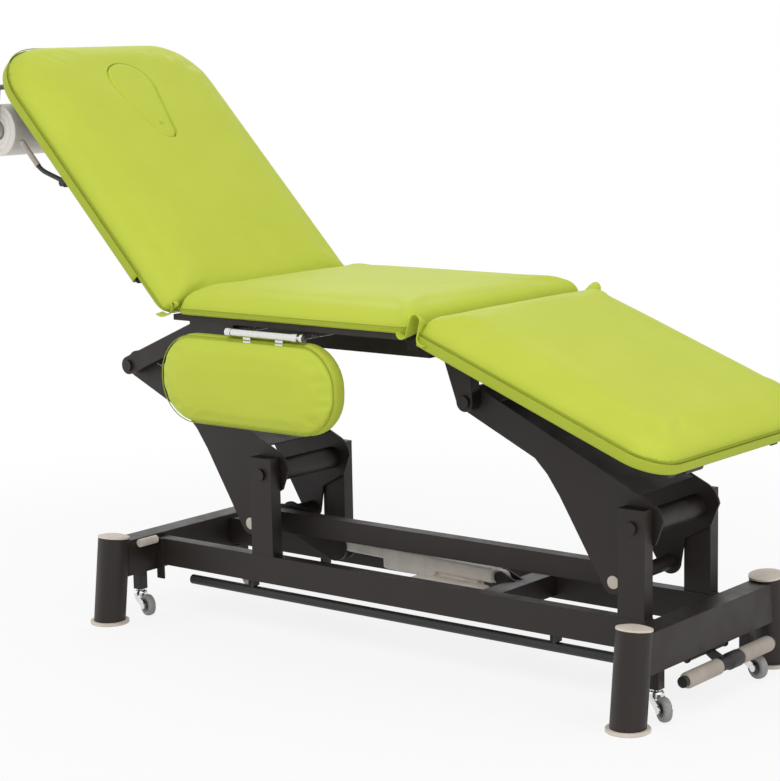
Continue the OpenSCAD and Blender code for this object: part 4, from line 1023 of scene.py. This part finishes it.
@dataclass
class CoverEdge:
    """The cover pulled down over a board's edge and under it, on three sides of a pad."""

    name: str
    body: str
    shape: PadShape
    basis: Matrix
    start: float
    drop: float = 13.2
    under: float = 24.0
    bend: float = 5.0

    def profile(self) -> Array:
        """How far in and how high the cover is: down the edge, a quarter turn, then in under the board."""
        down = np.column_stack([np.full(5, 0.4), np.linspace(9.0, -self.drop + self.bend, 5)])
        turn = arc_path((self.bend + 0.4, -self.drop + self.bend), self.bend, 180, 270, 8)[1:]
        inward = np.column_stack([np.linspace(9.0, self.under, 4), np.full(4, -self.drop)])
        return np.concatenate([down, turn, inward])

    def outline(self, inset: float) -> Array:
        """One side, the far end with its corners and the other side, inset from the pad's outline."""
        s = self.shape
        r = max(s.last_corner - inset, 2.0)
        half, end = s.half - inset, s.length - inset
        a = np.linspace(0, 1, 60)[:, None]
        near = (1 - a) * (self.start, -half) + a * (end - r, -half)
        first = arc_path((end - r, -half + r), r, 270, 360, 24)
        b = np.linspace(0, 1, 50)[:, None]
        across = (1 - b) * (end, -half + r) + b * (end, half - r)
        second = arc_path((end - r, half - r), r, 0, 90, 24)
        far = (1 - a) * (end - r, half) + a * (self.start, half)
        return np.concatenate([near, first[1:], across[1:], second[1:], far[1:]])

    def build(self) -> None:
        profile = self.profile()
        grid = np.stack([at_height(self.outline(d), h) for d, h in profile]) * MM
        # painted shade: the cover's edge takes the darker lime of the lower sides
        made = vinyl_sheet(self.name, grid, Finish.SIDE_SHADE)
        laid(made, self.basis)
        fitted(made, "vinyl", self.body)


def carried(stations: Sequence[Sequence[float]], count: int = 10) -> tuple[Array, list]:
    """Carries a rectangle with rounded corners along X.

    Args:
        stations: rows of x, low y, high y, low z, high z and corner radius, in millimetres.
        count: points in each corner.

    Returns:
        Points in metres of the part's drawing frame, and faces.
    """
    rings = []
    for x, y0, y1, z0, z1, r in stations:
        r = min(r, (y1 - y0) / 2 - 0.01, (z1 - z0) / 2 - 0.01)
        middles = ((y1 - r, z1 - r), (y0 + r, z1 - r), (y0 + r, z0 + r), (y1 - r, z0 + r))
        flat = np.concatenate([arc_path(m, r, 90 * k, 90 * k + 90, count) for k, m in enumerate(middles)])
        rings.append(np.column_stack([np.full(len(flat), x), flat]))
    return capped(np.stack(rings))


@dataclass
class Actuator:
    """The lift's actuator: a moulded case, its motor beside it and the square tube that slides out of it."""

    pivot: tuple[float, float, float] = (195.0, 15.0, 167.0)
    tilt: float = 1.5587
    crisp: float = 38.0

    def turned(self, part: tuple[Array, list]) -> tuple[Array, list]:
        """Turns a form whose X runs back from the clevis pin along the actuator into the row frame."""
        points, faces = part
        a = math.radians(self.tilt)
        x = self.pivot[0] - points[:, 0] * math.cos(a) - points[:, 2] * math.sin(a)
        z = self.pivot[2] + points[:, 0] * math.sin(a) + points[:, 2] * math.cos(a)
        return in_row(np.column_stack([x, self.pivot[1] + points[:, 1], z])), faces

    def case(self) -> list[tuple[Array, list]]:
        """The case: a lug at the clevis, a flat beam, a deeper gear box, and the ribs between them."""
        lug = [(-13.6, -8, 8, -1.5, 1.5, 1), (-12.5, -8, 8, -6, 6, 2), (-9, -8, 8, -10.8, 10.8, 2),
               (0, -8, 8, -14, 14, 2), (24, -8, 8, -14, 14, 2)]
        beam = [(15, -19, 19, -9, 15, 6), (17, -22, 22, -12, 18, 7), (20, -23, 23, -13, 19, 7),
                (160, -23, 23, -13, 19, 7), (168, -23, 23, -24, 19, 7), (172, -24, 24, -27, 20, 6),
                (296, -24, 24, -27, 20, 6), (300, -23, 23, -26, 19, 6), (302, -20, 20, -22, 15, 4)]
        ribs = [[(x + w, -24.4, 24.4, -27.4, 20.4, 6) for w in (0, 2.4)] for x in (186.0, 289.0)]
        return [carried(lug), carried(beam), *[carried(r) for r in ribs]]

    def motor(self) -> list[tuple[Array, list]]:
        """The motor's cover, low beside the beam, with rounded ends and a lid line."""
        cover = [(30, -62, -6, -52, -24, 6), (31.5, -65, -5, -56, -22.5, 9), (36, -67, -4, -58, -21, 10),
                 (196, -67, -4, -58, -21, 10), (202, -65, -5, -56, -22.5, 9), (204, -60, -8, -50, -26, 6)]
        lid = [(33.5, -67.3, -3.8, -41, -39.4, 0.7), (199, -67.3, -3.8, -41, -39.4, 0.7)]
        neck = [(60, -12, 12, -36, -10, 3), (180, -12, 12, -36, -10, 3)]
        return [carried(cover), carried(lid), carried(neck)]

    def tube(self) -> list[tuple[Array, list]]:
        """The sliding tube, which runs on inside the case, and the fork at its free end."""
        slim = [(170, -16, 16, -8, 16, 5), (418, -16, 16, -8, 16, 5), (421, -14, 14, -6, 14, 4)]
        neck = [(419, -7, 7, -7, 9, 3), (430, -7, 7, -7, 7, 3)]
        return [carried(slim), carried(neck)]

    def build(self) -> None:
        """Makes the three pieces, each riding on its own body."""
        for name, parts, body, node in (("lift_case", self.case(), "actuator_body", "actuator_housing"),
                                        ("lift_motor", self.motor(), "actuator_body", "actuator_motor"),
                                        ("lift_tube", self.tube(), "actuator_rod", "actuator_rod")):
            made = outward(piece(name, *joined([self.turned(p) for p in parts]), Finish.PALE.made(), False))
            smoothed(made)
            stacked(made, "EDGE_SPLIT", split_angle=math.radians(self.crisp))
            fitted(made, "actuator_plastic", body, node)


@dataclass
class PedalSleeves:
    """The caster pedal's two pale sleeves with domed ends and the dark collar between them."""

    x: float = 715.0
    z: float = 67.0
    radius: float = 16.0
    spans: tuple[tuple[float, float], ...] = ((-128.0, -2.0), (77.0, 196.0))
    collar: tuple[float, float] = (-3.0, 78.0)
    dome: float = 9.0

    def turned(self, profile: Array) -> tuple[Array, list]:
        """Turns pairs of radius and y about the pedal's tube."""
        verts, faces = lathe(profile, 40)
        return in_row(np.column_stack([self.x + verts[:, 0], verts[:, 2], self.z - verts[:, 1]])), faces

    def sleeve(self, low: float, high: float) -> tuple[Array, list]:
        """A sleeve whose ends are quarter ellipses: the radius falls with the cosine as y runs out."""
        a = np.linspace(0, math.pi / 2, 14)
        r, d = self.radius, self.dome
        first = np.column_stack([r - d + d * np.sin(a), low + d - d * np.cos(a)])
        middle = np.column_stack([np.full(20, r), np.linspace(low + d, high - d, 20)])
        last = np.column_stack([r - d + d * np.cos(a), high - d + d * np.sin(a)])
        ends = np.array([(0.5, low + 0.4), (0.5, high - 0.4)])
        return self.turned(np.concatenate([ends[:1], first, middle[1:-1], last, ends[1:]]))

    def build(self) -> None:
        """Makes the sleeves and the collar, which both ride on the pedal."""
        sleeves = joined([self.sleeve(*span) for span in self.spans])
        pads = outward(piece("pedal_sleeves", *sleeves, Finish.FOAM.made()))
        fitted(pads, "grey_plastic", "caster_pedal", "pedal_pads")
        y0, y1 = self.collar
        ring = np.array([(11.2, y0), (13.0, y0 + 0.4), (13.4, y0 + 2), (13.4, y0 + 30), (16.2, y0 + 33),
                         (16.8, y0 + 36), (16.8, y1 - 10), (16.2, y1 - 7), (13.6, y1 - 5), (13.4, y1 - 1.5),
                         (12.6, y1), (11.2, y1)])
        collar = outward(piece("pedal_collar", *self.turned(ring), Finish.BLACK.made()))
        fitted(collar, "dark_plastic", "caster_pedal")


@dataclass
class ReclineLever:
    """The backrest's release lever: a bent black bar with a slim grey sleeve on its free end."""

    y: float = -280.0
    pin: tuple[float, float] = (384.0, -60.0)
    bend: tuple[float, float] = (455.0, -99.0)
    end: tuple[float, float] = (541.0, -99.0)
    radius: float = 5.2
    sleeve: float = 6.3

    def path(self) -> Array:
        """Straight from the pin, round the bend on a curve that blends the two runs, straight to the end."""
        pin, bend, end = (np.array(p) for p in (self.pin, self.bend, self.end))
        a = bend + (pin - bend) * 0.24
        b = bend + (end - bend) * 0.2
        t = np.linspace(0, 1, 16)[:, None]
        curve = (1 - t) ** 2 * a + 2 * t * (1 - t) * bend + t ** 2 * b
        run = np.concatenate([pin + (a - pin) * np.linspace(0, 1, 10)[:-1, None], curve,
                              b + (end - b) * np.linspace(0, 1, 16)[1:, None]])
        return np.column_stack([run[:, 0], np.full(len(run), self.y), run[:, 1]]) * MM

    def build(self) -> None:
        """Makes the bar, its pin boss and the sleeve in the backrest's space."""
        path = self.path()
        boss = np.array([(self.pin[0], self.y + s, self.pin[1]) for s in np.linspace(-4.8, 4.8, 4)]) * MM
        bar = piece("recline_bar", *joined([tube(path, self.radius * MM, 16), tube(boss, 0.0105, 28)]),
                    Finish.BLACK.made())
        grip = path[path[:, 0] > self.bend[0] * MM + 0.012]
        wide = np.full(len(grip), self.sleeve * MM)
        wide[-1] -= 0.0016
        over = np.concatenate([grip, grip[-1:] + (0.0012, 0.0, 0.0)])
        cover = piece("recline_sleeve", *tube(over, np.append(wide, 0.003), 20), Finish.TUBING.made())
        for made, slot, nodes in ((bar, "dark_plastic", ("backrest_lever",)), (cover, "grey_plastic", ())):
            made.data.transform(back_space())
            fitted(outward(made), slot, "backrest_lever", *nodes)


@dataclass
class PaperRoll:
    """The roll of couch paper: wound, a little uneven at its ends, on a card core."""

    along: float = 621.0
    out: float = -152.0
    radius: float = 58.0
    core: float = 20.5
    wall: float = 2.4
    length: float = 530.0
    turns: int = 30
    sides: int = 120

    def grid(self) -> Array:
        """Rings along a profile that runs over the roll, down its end, through the core and back.

        The radius of the outside falls by the paper's thickness over one turn, which leaves the loose
        edge as a step, and each end waves in and out by a fraction of a millimetre from turn to turn.
        """
        half = self.length / 2
        face = np.linspace(self.radius, self.core + self.wall, self.turns * 2)
        wave = 0.35 * np.cos(np.arange(len(face)) * math.pi) - 0.4
        core = np.array([self.core + self.wall, self.core + self.wall, self.core + 0.3, self.core + 0.3])
        lip = np.array([-0.6, 0.0, 0.0, -1.5])
        r_end = np.concatenate([face, core])
        y_end = np.concatenate([half + wave, half + lip])
        outside = np.linspace(-half + 1.2, half - 1.2, 60)
        inside = np.linspace(half - 4, -half + 4, 12)
        r = np.concatenate([np.full(60, self.radius), r_end, np.full(12, self.core + 0.3), r_end[::-1]])
        y = np.concatenate([outside, y_end, inside, -y_end[::-1]])
        a = np.linspace(0, TAU, self.sides, endpoint=False)
        step = np.where(r[:, None] > self.radius - 0.01, -0.7 * (a[None, :] / TAU), 0.0)
        crush = 0.25 * np.sin(3 * a)[None, :] * (r[:, None] > self.core + self.wall)
        rr = r[:, None] + step + np.minimum(crush, 0)
        v = self.along + rr * np.cos(a + 2.0)
        n = self.out + rr * np.sin(a + 2.0)
        return np.stack([v, np.broadcast_to(y[:, None], v.shape), n], -1) * MM

    def build(self) -> None:
        """Makes the roll in the backrest's space."""
        grid = self.grid()
        rows, cols = grid.shape[:2]
        faces = grid_faces(rows, cols).tolist()
        last = (rows - 1) * cols
        faces += [[last + i, last + (i + 1) % cols, (i + 1) % cols, i] for i in range(cols)]
        centre = back_space() @ Vector((self.along * MM, 0.0, self.out * MM))
        paper = WoundPaper((centre.x, centre.z), (self.core + self.wall + 0.1) * MM).make()
        made = piece("couch_paper", grid.reshape(-1, 3), faces, paper)
        made.data.transform(back_space())
        fitted(outward(made), "paper", "paper_roll", "paper_roll")


@dataclass
class Castor:
    """One castor wheel turned to shape: a grey tyre and a dark hub."""

    corner: str
    hub_share: float = 0.6
    sides: int = 56

    def axle(self, obj: bpy.types.Object) -> tuple[Array, Array, float, float]:
        """Finds the wheel's middle, its axle's direction, radius and half width from its solid."""
        co = corners_of(obj)
        middle = (co.min(0) + co.max(0)) / 2
        flat = co[:, :2] - middle[:2]
        angles = np.radians(np.arange(0, 180, 0.5))
        spread = np.abs(flat @ np.stack([np.cos(angles), np.sin(angles)])).max(0)
        best = angles[int(spread.argmin())]
        along = np.array([math.cos(best), math.sin(best), 0.0])
        return middle, along, float(co[:, 2].max() - middle[2]), float(spread.min())

    def turned(self, profile: Array, middle: Array, along: Array) -> tuple[Array, list]:
        """Turns a profile of radius and offset, given in metres, about the axle."""
        verts, faces = lathe(profile, self.sides)
        up = np.array([0.0, 0.0, 1.0])
        side = np.cross(up, along)
        return middle + verts[:, :1] * side + verts[:, 1:2] * up + verts[:, 2:] * along, faces

    def build(self) -> None:
        """Makes the tyre, and the hub with its raised rim and its boss."""
        node = f"wheel_{self.corner}"
        middle, along, r, half = self.axle(frame["nodes"][node])
        hub = r * self.hub_share
        round_ = arc_path((0.0, 0.0), 1.0, -90, 90, 17)
        lip = 0.0035
        tread = np.column_stack([r - lip + lip * round_[:, 0], (half - 0.0006) * round_[:, 1]])
        side = np.array([(hub + 0.0012, half - 0.0009), (hub, half - 0.0022)])
        inner = np.array([(0.004, half - 0.0035)])
        tyre = np.concatenate([inner * [1, -1], side[::-1] * [1, -1], tread, side, inner])
        made = outward(piece(f"tyre_{self.corner}", *self.turned(tyre, middle, along), Finish.TREAD.made()))
        fitted(made, "wheel_grey", node, node)
        disc = np.array([(0.001, 0.0), (hub - 0.0003, 0.0), (hub - 0.0003, half - 0.0026),
                         (hub - 0.0012, half - 0.0012), (hub - 0.0028, half - 0.0012),
                         (hub - 0.004, half - 0.0026), (0.0075, half - 0.0026), (0.006, half - 0.0002),
                         (0.001, half - 0.0002)])
        parts = [self.turned(disc * [1, side], middle, along) for side in (1, -1)]
        core = outward(piece(f"hub_{self.corner}", *joined(parts), Finish.DARK.made()))
        fitted(core, "dark_plastic", node)


@dataclass
class WeldBeads:
    """Weld beads at the feet of the uprights."""

    radius: float = 1.9
    pitch: float = 3.4
    ripple: float = 0.14
    step: float = 1.3
    half_x: float = 30.0
    upright_x: tuple[float, float] = (-336.0, 601.0)
    rail_y: tuple[float, float] = (107.0, 137.0)
    rail_top: float = 171.0

    def bead(self, low: Sequence[float], high: Sequence[float], z: float,
             corner: float = 2.0) -> tuple[Array, list]:
        """A rippled bead round a rectangle at one height: its radius swells with the sine of the way."""
        (x0, y0), (x1, y1) = low, high
        corners = [arc_path((x0 + corner, y0 + corner), corner, 180, 270, 5),
                   arc_path((x1 - corner, y0 + corner), corner, 270, 360, 5),
                   arc_path((x1 - corner, y1 - corner), corner, 0, 90, 5),
                   arc_path((x0 + corner, y1 - corner), corner, 90, 180, 5)]
        loop = np.concatenate([*corners, corners[0][:1]])
        length = path_length(loop)
        path = even(loop, int(length / self.step))[:-1]
        s = np.linspace(0, length, len(path), endpoint=False)
        r = self.radius * (1 + self.ripple * np.sin(s * TAU / self.pitch))
        return tube(in_row(at_height(path, z)), r * MM, 8, True)

    def build(self) -> None:
        """One bead at the foot of each upright."""
        parts = []
        for x in self.upright_x:
            for side in (-1, 1):
                y0, y1 = sorted(side * v for v in self.rail_y)
                low, high = (x - self.half_x, y0 + 0.6), (x + self.half_x, y1 - 0.6)
                parts.append(self.bead(low, high, self.rail_top + 0.6))
        made = outward(piece("upright_welds", *joined(parts), Finish.COAT.made()))
        fitted(made, "frame_paint", "base")


# Carried-over nodes


@dataclass
class Dressing:
    """Gives every carried-over node its finish."""

    finishes: dict[str, Finish] = field(default_factory=lambda: {
        "frame_paint": Finish.COAT, "grey_plastic": Finish.GREY, "actuator_plastic": Finish.PALE,
        "dark_plastic": Finish.BLACK, "bright_steel": Finish.PLATE, "board": Finish.BOARD,
        "vinyl": Finish.VINYL, "wheel_grey": Finish.TREAD})
    odd: dict[str, Finish] = field(default_factory=lambda: {
        "backrest_spring_rod": Finish.ROD, "leg_spring_rod": Finish.ROD, "paper_roll_holder": Finish.SATIN,
        "floor_rings": Finish.GREY, "lower_pivot_pins": Finish.COAT, "upper_pivot_pins": Finish.COAT})

    def build(self) -> None:
        """Assigns materials to the nodes' own slots."""
        slots = {s["node"]: s["material_slot"] for s in frame["record"]["subparts"]}
        low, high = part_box("paper_roll")
        centre = ((low[0] + high[0]) / 2, (low[2] + high[2]) / 2)
        paper = WoundPaper(centre, 0.023).make()
        for node, obj in frame["nodes"].items():
            if slots.get(node) == "paper":
                material = paper
            else:
                material = self.odd.get(node, self.finishes.get(slots.get(node, ""), Finish.COAT)).made()
            if not obj.data.materials:
                obj.data.materials.append(material)
            for k in range(len(obj.data.materials)):
                obj.data.materials[k] = material


# Stage


@dataclass(frozen=True)
class Lamp:
    """One square soft lamp: where it stands, its size in metres, its power in watts and where it faces."""

    name: str
    place: tuple[float, float, float]
    size: float
    power: float
    target: tuple[float, float, float]

    def build(self) -> None:
        """Creates the lamp."""
        data = bpy.data.lights.new(self.name, "AREA")
        data.shape = "SQUARE"
        data.size = self.size
        data.energy = self.power
        made = bpy.data.objects.new(self.name, data)
        bpy.context.scene.collection.objects.link(made)
        made.location = Vector(self.place)
        facing = Vector(self.target) - Vector(self.place)
        made.rotation_euler = facing.to_track_quat("-Z", "Y").to_euler()


@dataclass
class Studio:
    """Floor, light and the camera at the photograph's angle."""

    place: tuple[float, float, float] = (2.9592, -3.63387, 1.2912)
    yaw: float = 38.6
    pitch: float = 9.2
    roll: float = -1.1
    focal_px: float = 2234.6
    width_px: float = 780.0
    sensor: float = 36.0
    floor_size: float = 30.0
    floor_grey: float = 0.86
    fade: tuple[float, float] = (1.3, 2.6)
    near_white: float = 0.84
    world: float = 0.62
    lamps: tuple[Lamp, ...] = (
        Lamp("key", (1.0, -2.6, 4.0), 2.8, 60.0, (0.0, 0.0, 0.6)),
        Lamp("fill", (3.6, -0.8, 1.8), 2.6, 26.0, (0.2, 0.0, 0.5)),
        Lamp("rim", (-2.6, 2.8, 3.2), 2.2, 26.0, (0.0, 0.0, 0.7)),
        Lamp("low", (-3.2, -1.6, 0.9), 1.6, 14.0, (-0.8, 0.0, 0.8)))

    def camera(self) -> None:
        """Creates the camera from the fitted place, heading and focal length."""
        y, p, r = (math.radians(v) for v in (self.yaw, self.pitch, self.roll))
        ahead = Vector((-math.sin(y) * math.cos(p), math.cos(y) * math.cos(p), -math.sin(p)))
        right = Vector((math.cos(y), math.sin(y), 0.0))
        up = right.cross(ahead)
        side = math.cos(r) * right + math.sin(r) * up
        top = -math.sin(r) * right + math.cos(r) * up
        basis = Matrix((side, top, -ahead)).transposed().to_4x4()
        basis.translation = Vector(self.place)
        data = bpy.data.cameras.new("camera")
        data.sensor_width = self.sensor
        data.lens = self.focal_px / self.width_px * self.sensor
        data.clip_end = 100.0
        made = bpy.data.objects.new("camera", data)
        bpy.context.scene.collection.objects.link(made)
        made.matrix_world = basis
        bpy.context.scene.camera = made

    def floor(self) -> None:
        """A wide pale floor that keeps the table's shadow and turns white with the distance from it."""
        size = self.floor_size
        verts = np.array([(-size, -size, 0), (size, -size, 0), (size, size, 0), (-size, size, 0)], float)
        p = Paint("studio_floor")
        p.set(Base_Color=(*[self.floor_grey] * 3, 1.0), Roughness=0.9)
        seen, glossy, through = (p.node("ShaderNodeLightPath", {}, {}, f"Is {kind} Ray")
                                 for kind in ("Camera", "Glossy", "Transmission"))
        white = p.node("ShaderNodeEmission", {}, {"Color": (1.0, 1.0, 1.0, 1.0), "Strength": 1.0}, 0)
        x, y, _ = p.apart(p.coords())
        far = p.step((x * x + y * y).power(0.5), *self.fade)
        share = (seen + glossy + through) * (far * (1 - self.near_white) + self.near_white)
        mixed = p.node("ShaderNodeMixShader", {}, {0: share, 1: Signal(p, p.shader.outputs[0]), 2: white}, 0)
        p.tree.links.new(mixed.socket, p.tree.nodes["Material Output"].inputs[0])
        made = piece("floor", verts, [(0, 1, 2, 3)], p.material, False)

    def light(self) -> None:
        """The soft lamps and an even world, white to the camera and to reflections."""
        for lamp in self.lamps:
            lamp.build()
        world = bpy.data.worlds.new("studio_world")
        bpy.context.scene.world = world
        world.use_nodes = True
        tree = world.node_tree
        shade = tree.nodes["Background"]
        bright = tree.nodes.new("ShaderNodeBackground")
        for background, strength in ((shade, self.world), (bright, 1.0)):
            background.inputs[0].default_value = (1.0, 1.0, 1.0, 1.0)
            background.inputs[1].default_value = strength
        rays = tree.nodes.new("ShaderNodeLightPath")
        mix = tree.nodes.new("ShaderNodeMixShader")
        total = rays.outputs["Is Camera Ray"]
        for kind in ("Is Glossy Ray", "Is Transmission Ray"):
            more = tree.nodes.new("ShaderNodeMath")
            more.operation = "ADD"
            more.use_clamp = True
            tree.links.new(total, more.inputs[0])
            tree.links.new(rays.outputs[kind], more.inputs[1])
            total = more.outputs[0]
        tree.links.new(total, mix.inputs[0])
        tree.links.new(shade.outputs[0], mix.inputs[1])
        tree.links.new(bright.outputs[0], mix.inputs[2])
        tree.links.new(mix.outputs[0], tree.nodes["World Output"].inputs[0])
        bpy.context.scene.view_settings.view_transform = "Standard"

    def build(self) -> None:
        """Camera first, then floor and light."""
        self.camera()
        self.floor()
        self.light()


def pads() -> list[Upholstery]:
    """The four upholstered pads, from the same sizes as their solids."""
    gap = 1.5
    seat_x0 = BACK_HINGE[0] + PAD_T / 2 + gap
    seat_x1 = LEG_HINGE[0] - gap
    hole = FaceHole()
    back = back_space()
    back.translation = back @ Vector((-PAD_T / 2 * MM, 0.0, -PAD_T / 2 * MM))
    leg = leg_space()
    leg.translation = leg @ Vector((gap * MM, 0.0, (PAD_Z - LEG_HINGE[1]) * MM))
    arm = Matrix(((1, 0, 0), (0, 0, -1), (0, 1, 0))).to_4x4()
    arm.translation = row(-438.0, -285.0, 675.0 - 93.5)
    notches = [box_cutter((-5.0, y, -5.0), (75.0, y + 25.0, 43.0)) for y in (-185.0, 160.0)]
    tab_x = (8.0 + share * 455.0 for share in (0.4893, 0.6793))
    tabs = [box_cutter((x, 75.0, 29.7), (x + 20.6, 99.0, 36.3)) for x in tab_x]
    seat = Upholstery("seat_cushion", "seat_pad", "upper_frame",
                      PadShape(seat_x1 - seat_x0, PAD_W / 2, first=End.FOLD, last=End.FOLD),
                      Matrix.Translation(row(seat_x0, 0, PAD_Z)))
    backrest = Upholstery("backrest_cushion", "backrest_pad", "backrest",
                          PadShape(BACK_LEN + PAD_T / 2, PAD_W / 2, first=End.ROLL, last_corner=140.0), back,
                          cutters=[hole.cutter(PAD_T / 2), *notches])
    legrest = Upholstery("leg_cushion", "leg_pad", "leg_section",
                         PadShape(LEG_LEN - gap, PAD_W / 2, first=End.FOLD, last_corner=80.0), leg)
    armrest = Upholstery("armrest_cushion", "armrest_pad", "armrest",
                         PadShape(471.0, 93.5, top=47.0, crown=6.0, first_corner=88.0, last_corner=88.0,
                                  shoulder=14.0, band=26.0, straight=8.0, crowns=12), arm, voxel=4.5, cap=4.0,
                         seam_height=38.0, paints_side_shade=False, cutters=tabs)
    return [seat, backrest, legrest, armrest]


def cover_edges(made: Sequence[Upholstery]) -> list[CoverEdge]:
    """The covers' lower edges on the backrest and the leg section."""
    by_name = {pad.name: pad for pad in made}
    back, leg = by_name["backrest_cushion"], by_name["leg_cushion"]
    return [CoverEdge("backrest_cover_edge", back.body, back.shape, back.basis, 112.0),
            CoverEdge("leg_cover_edge", leg.body, leg.shape, leg.basis, 16.0)]


def main() -> None:
    """Builds the studio, the finishes and every piece."""
    logging.basicConfig(level=logging.INFO, format="%(name)s %(message)s")
    Studio().build()
    Dressing().build()
    cushions = pads()
    for pad in cushions:
        pad.build()
    for edge in cover_edges(cushions):
        edge.build()
    Actuator().build()
    PedalSleeves().build()
    ReclineLever().build()
    FaceHole().build()
    for fold in cover_folds():
        fold.build()
    PaperRoll().build()
    for corner in ("head_near", "head_far", "foot_near", "foot_far"):
        Castor(corner).build()
    WeldBeads().build()


if __name__ == "__main__":
    main()
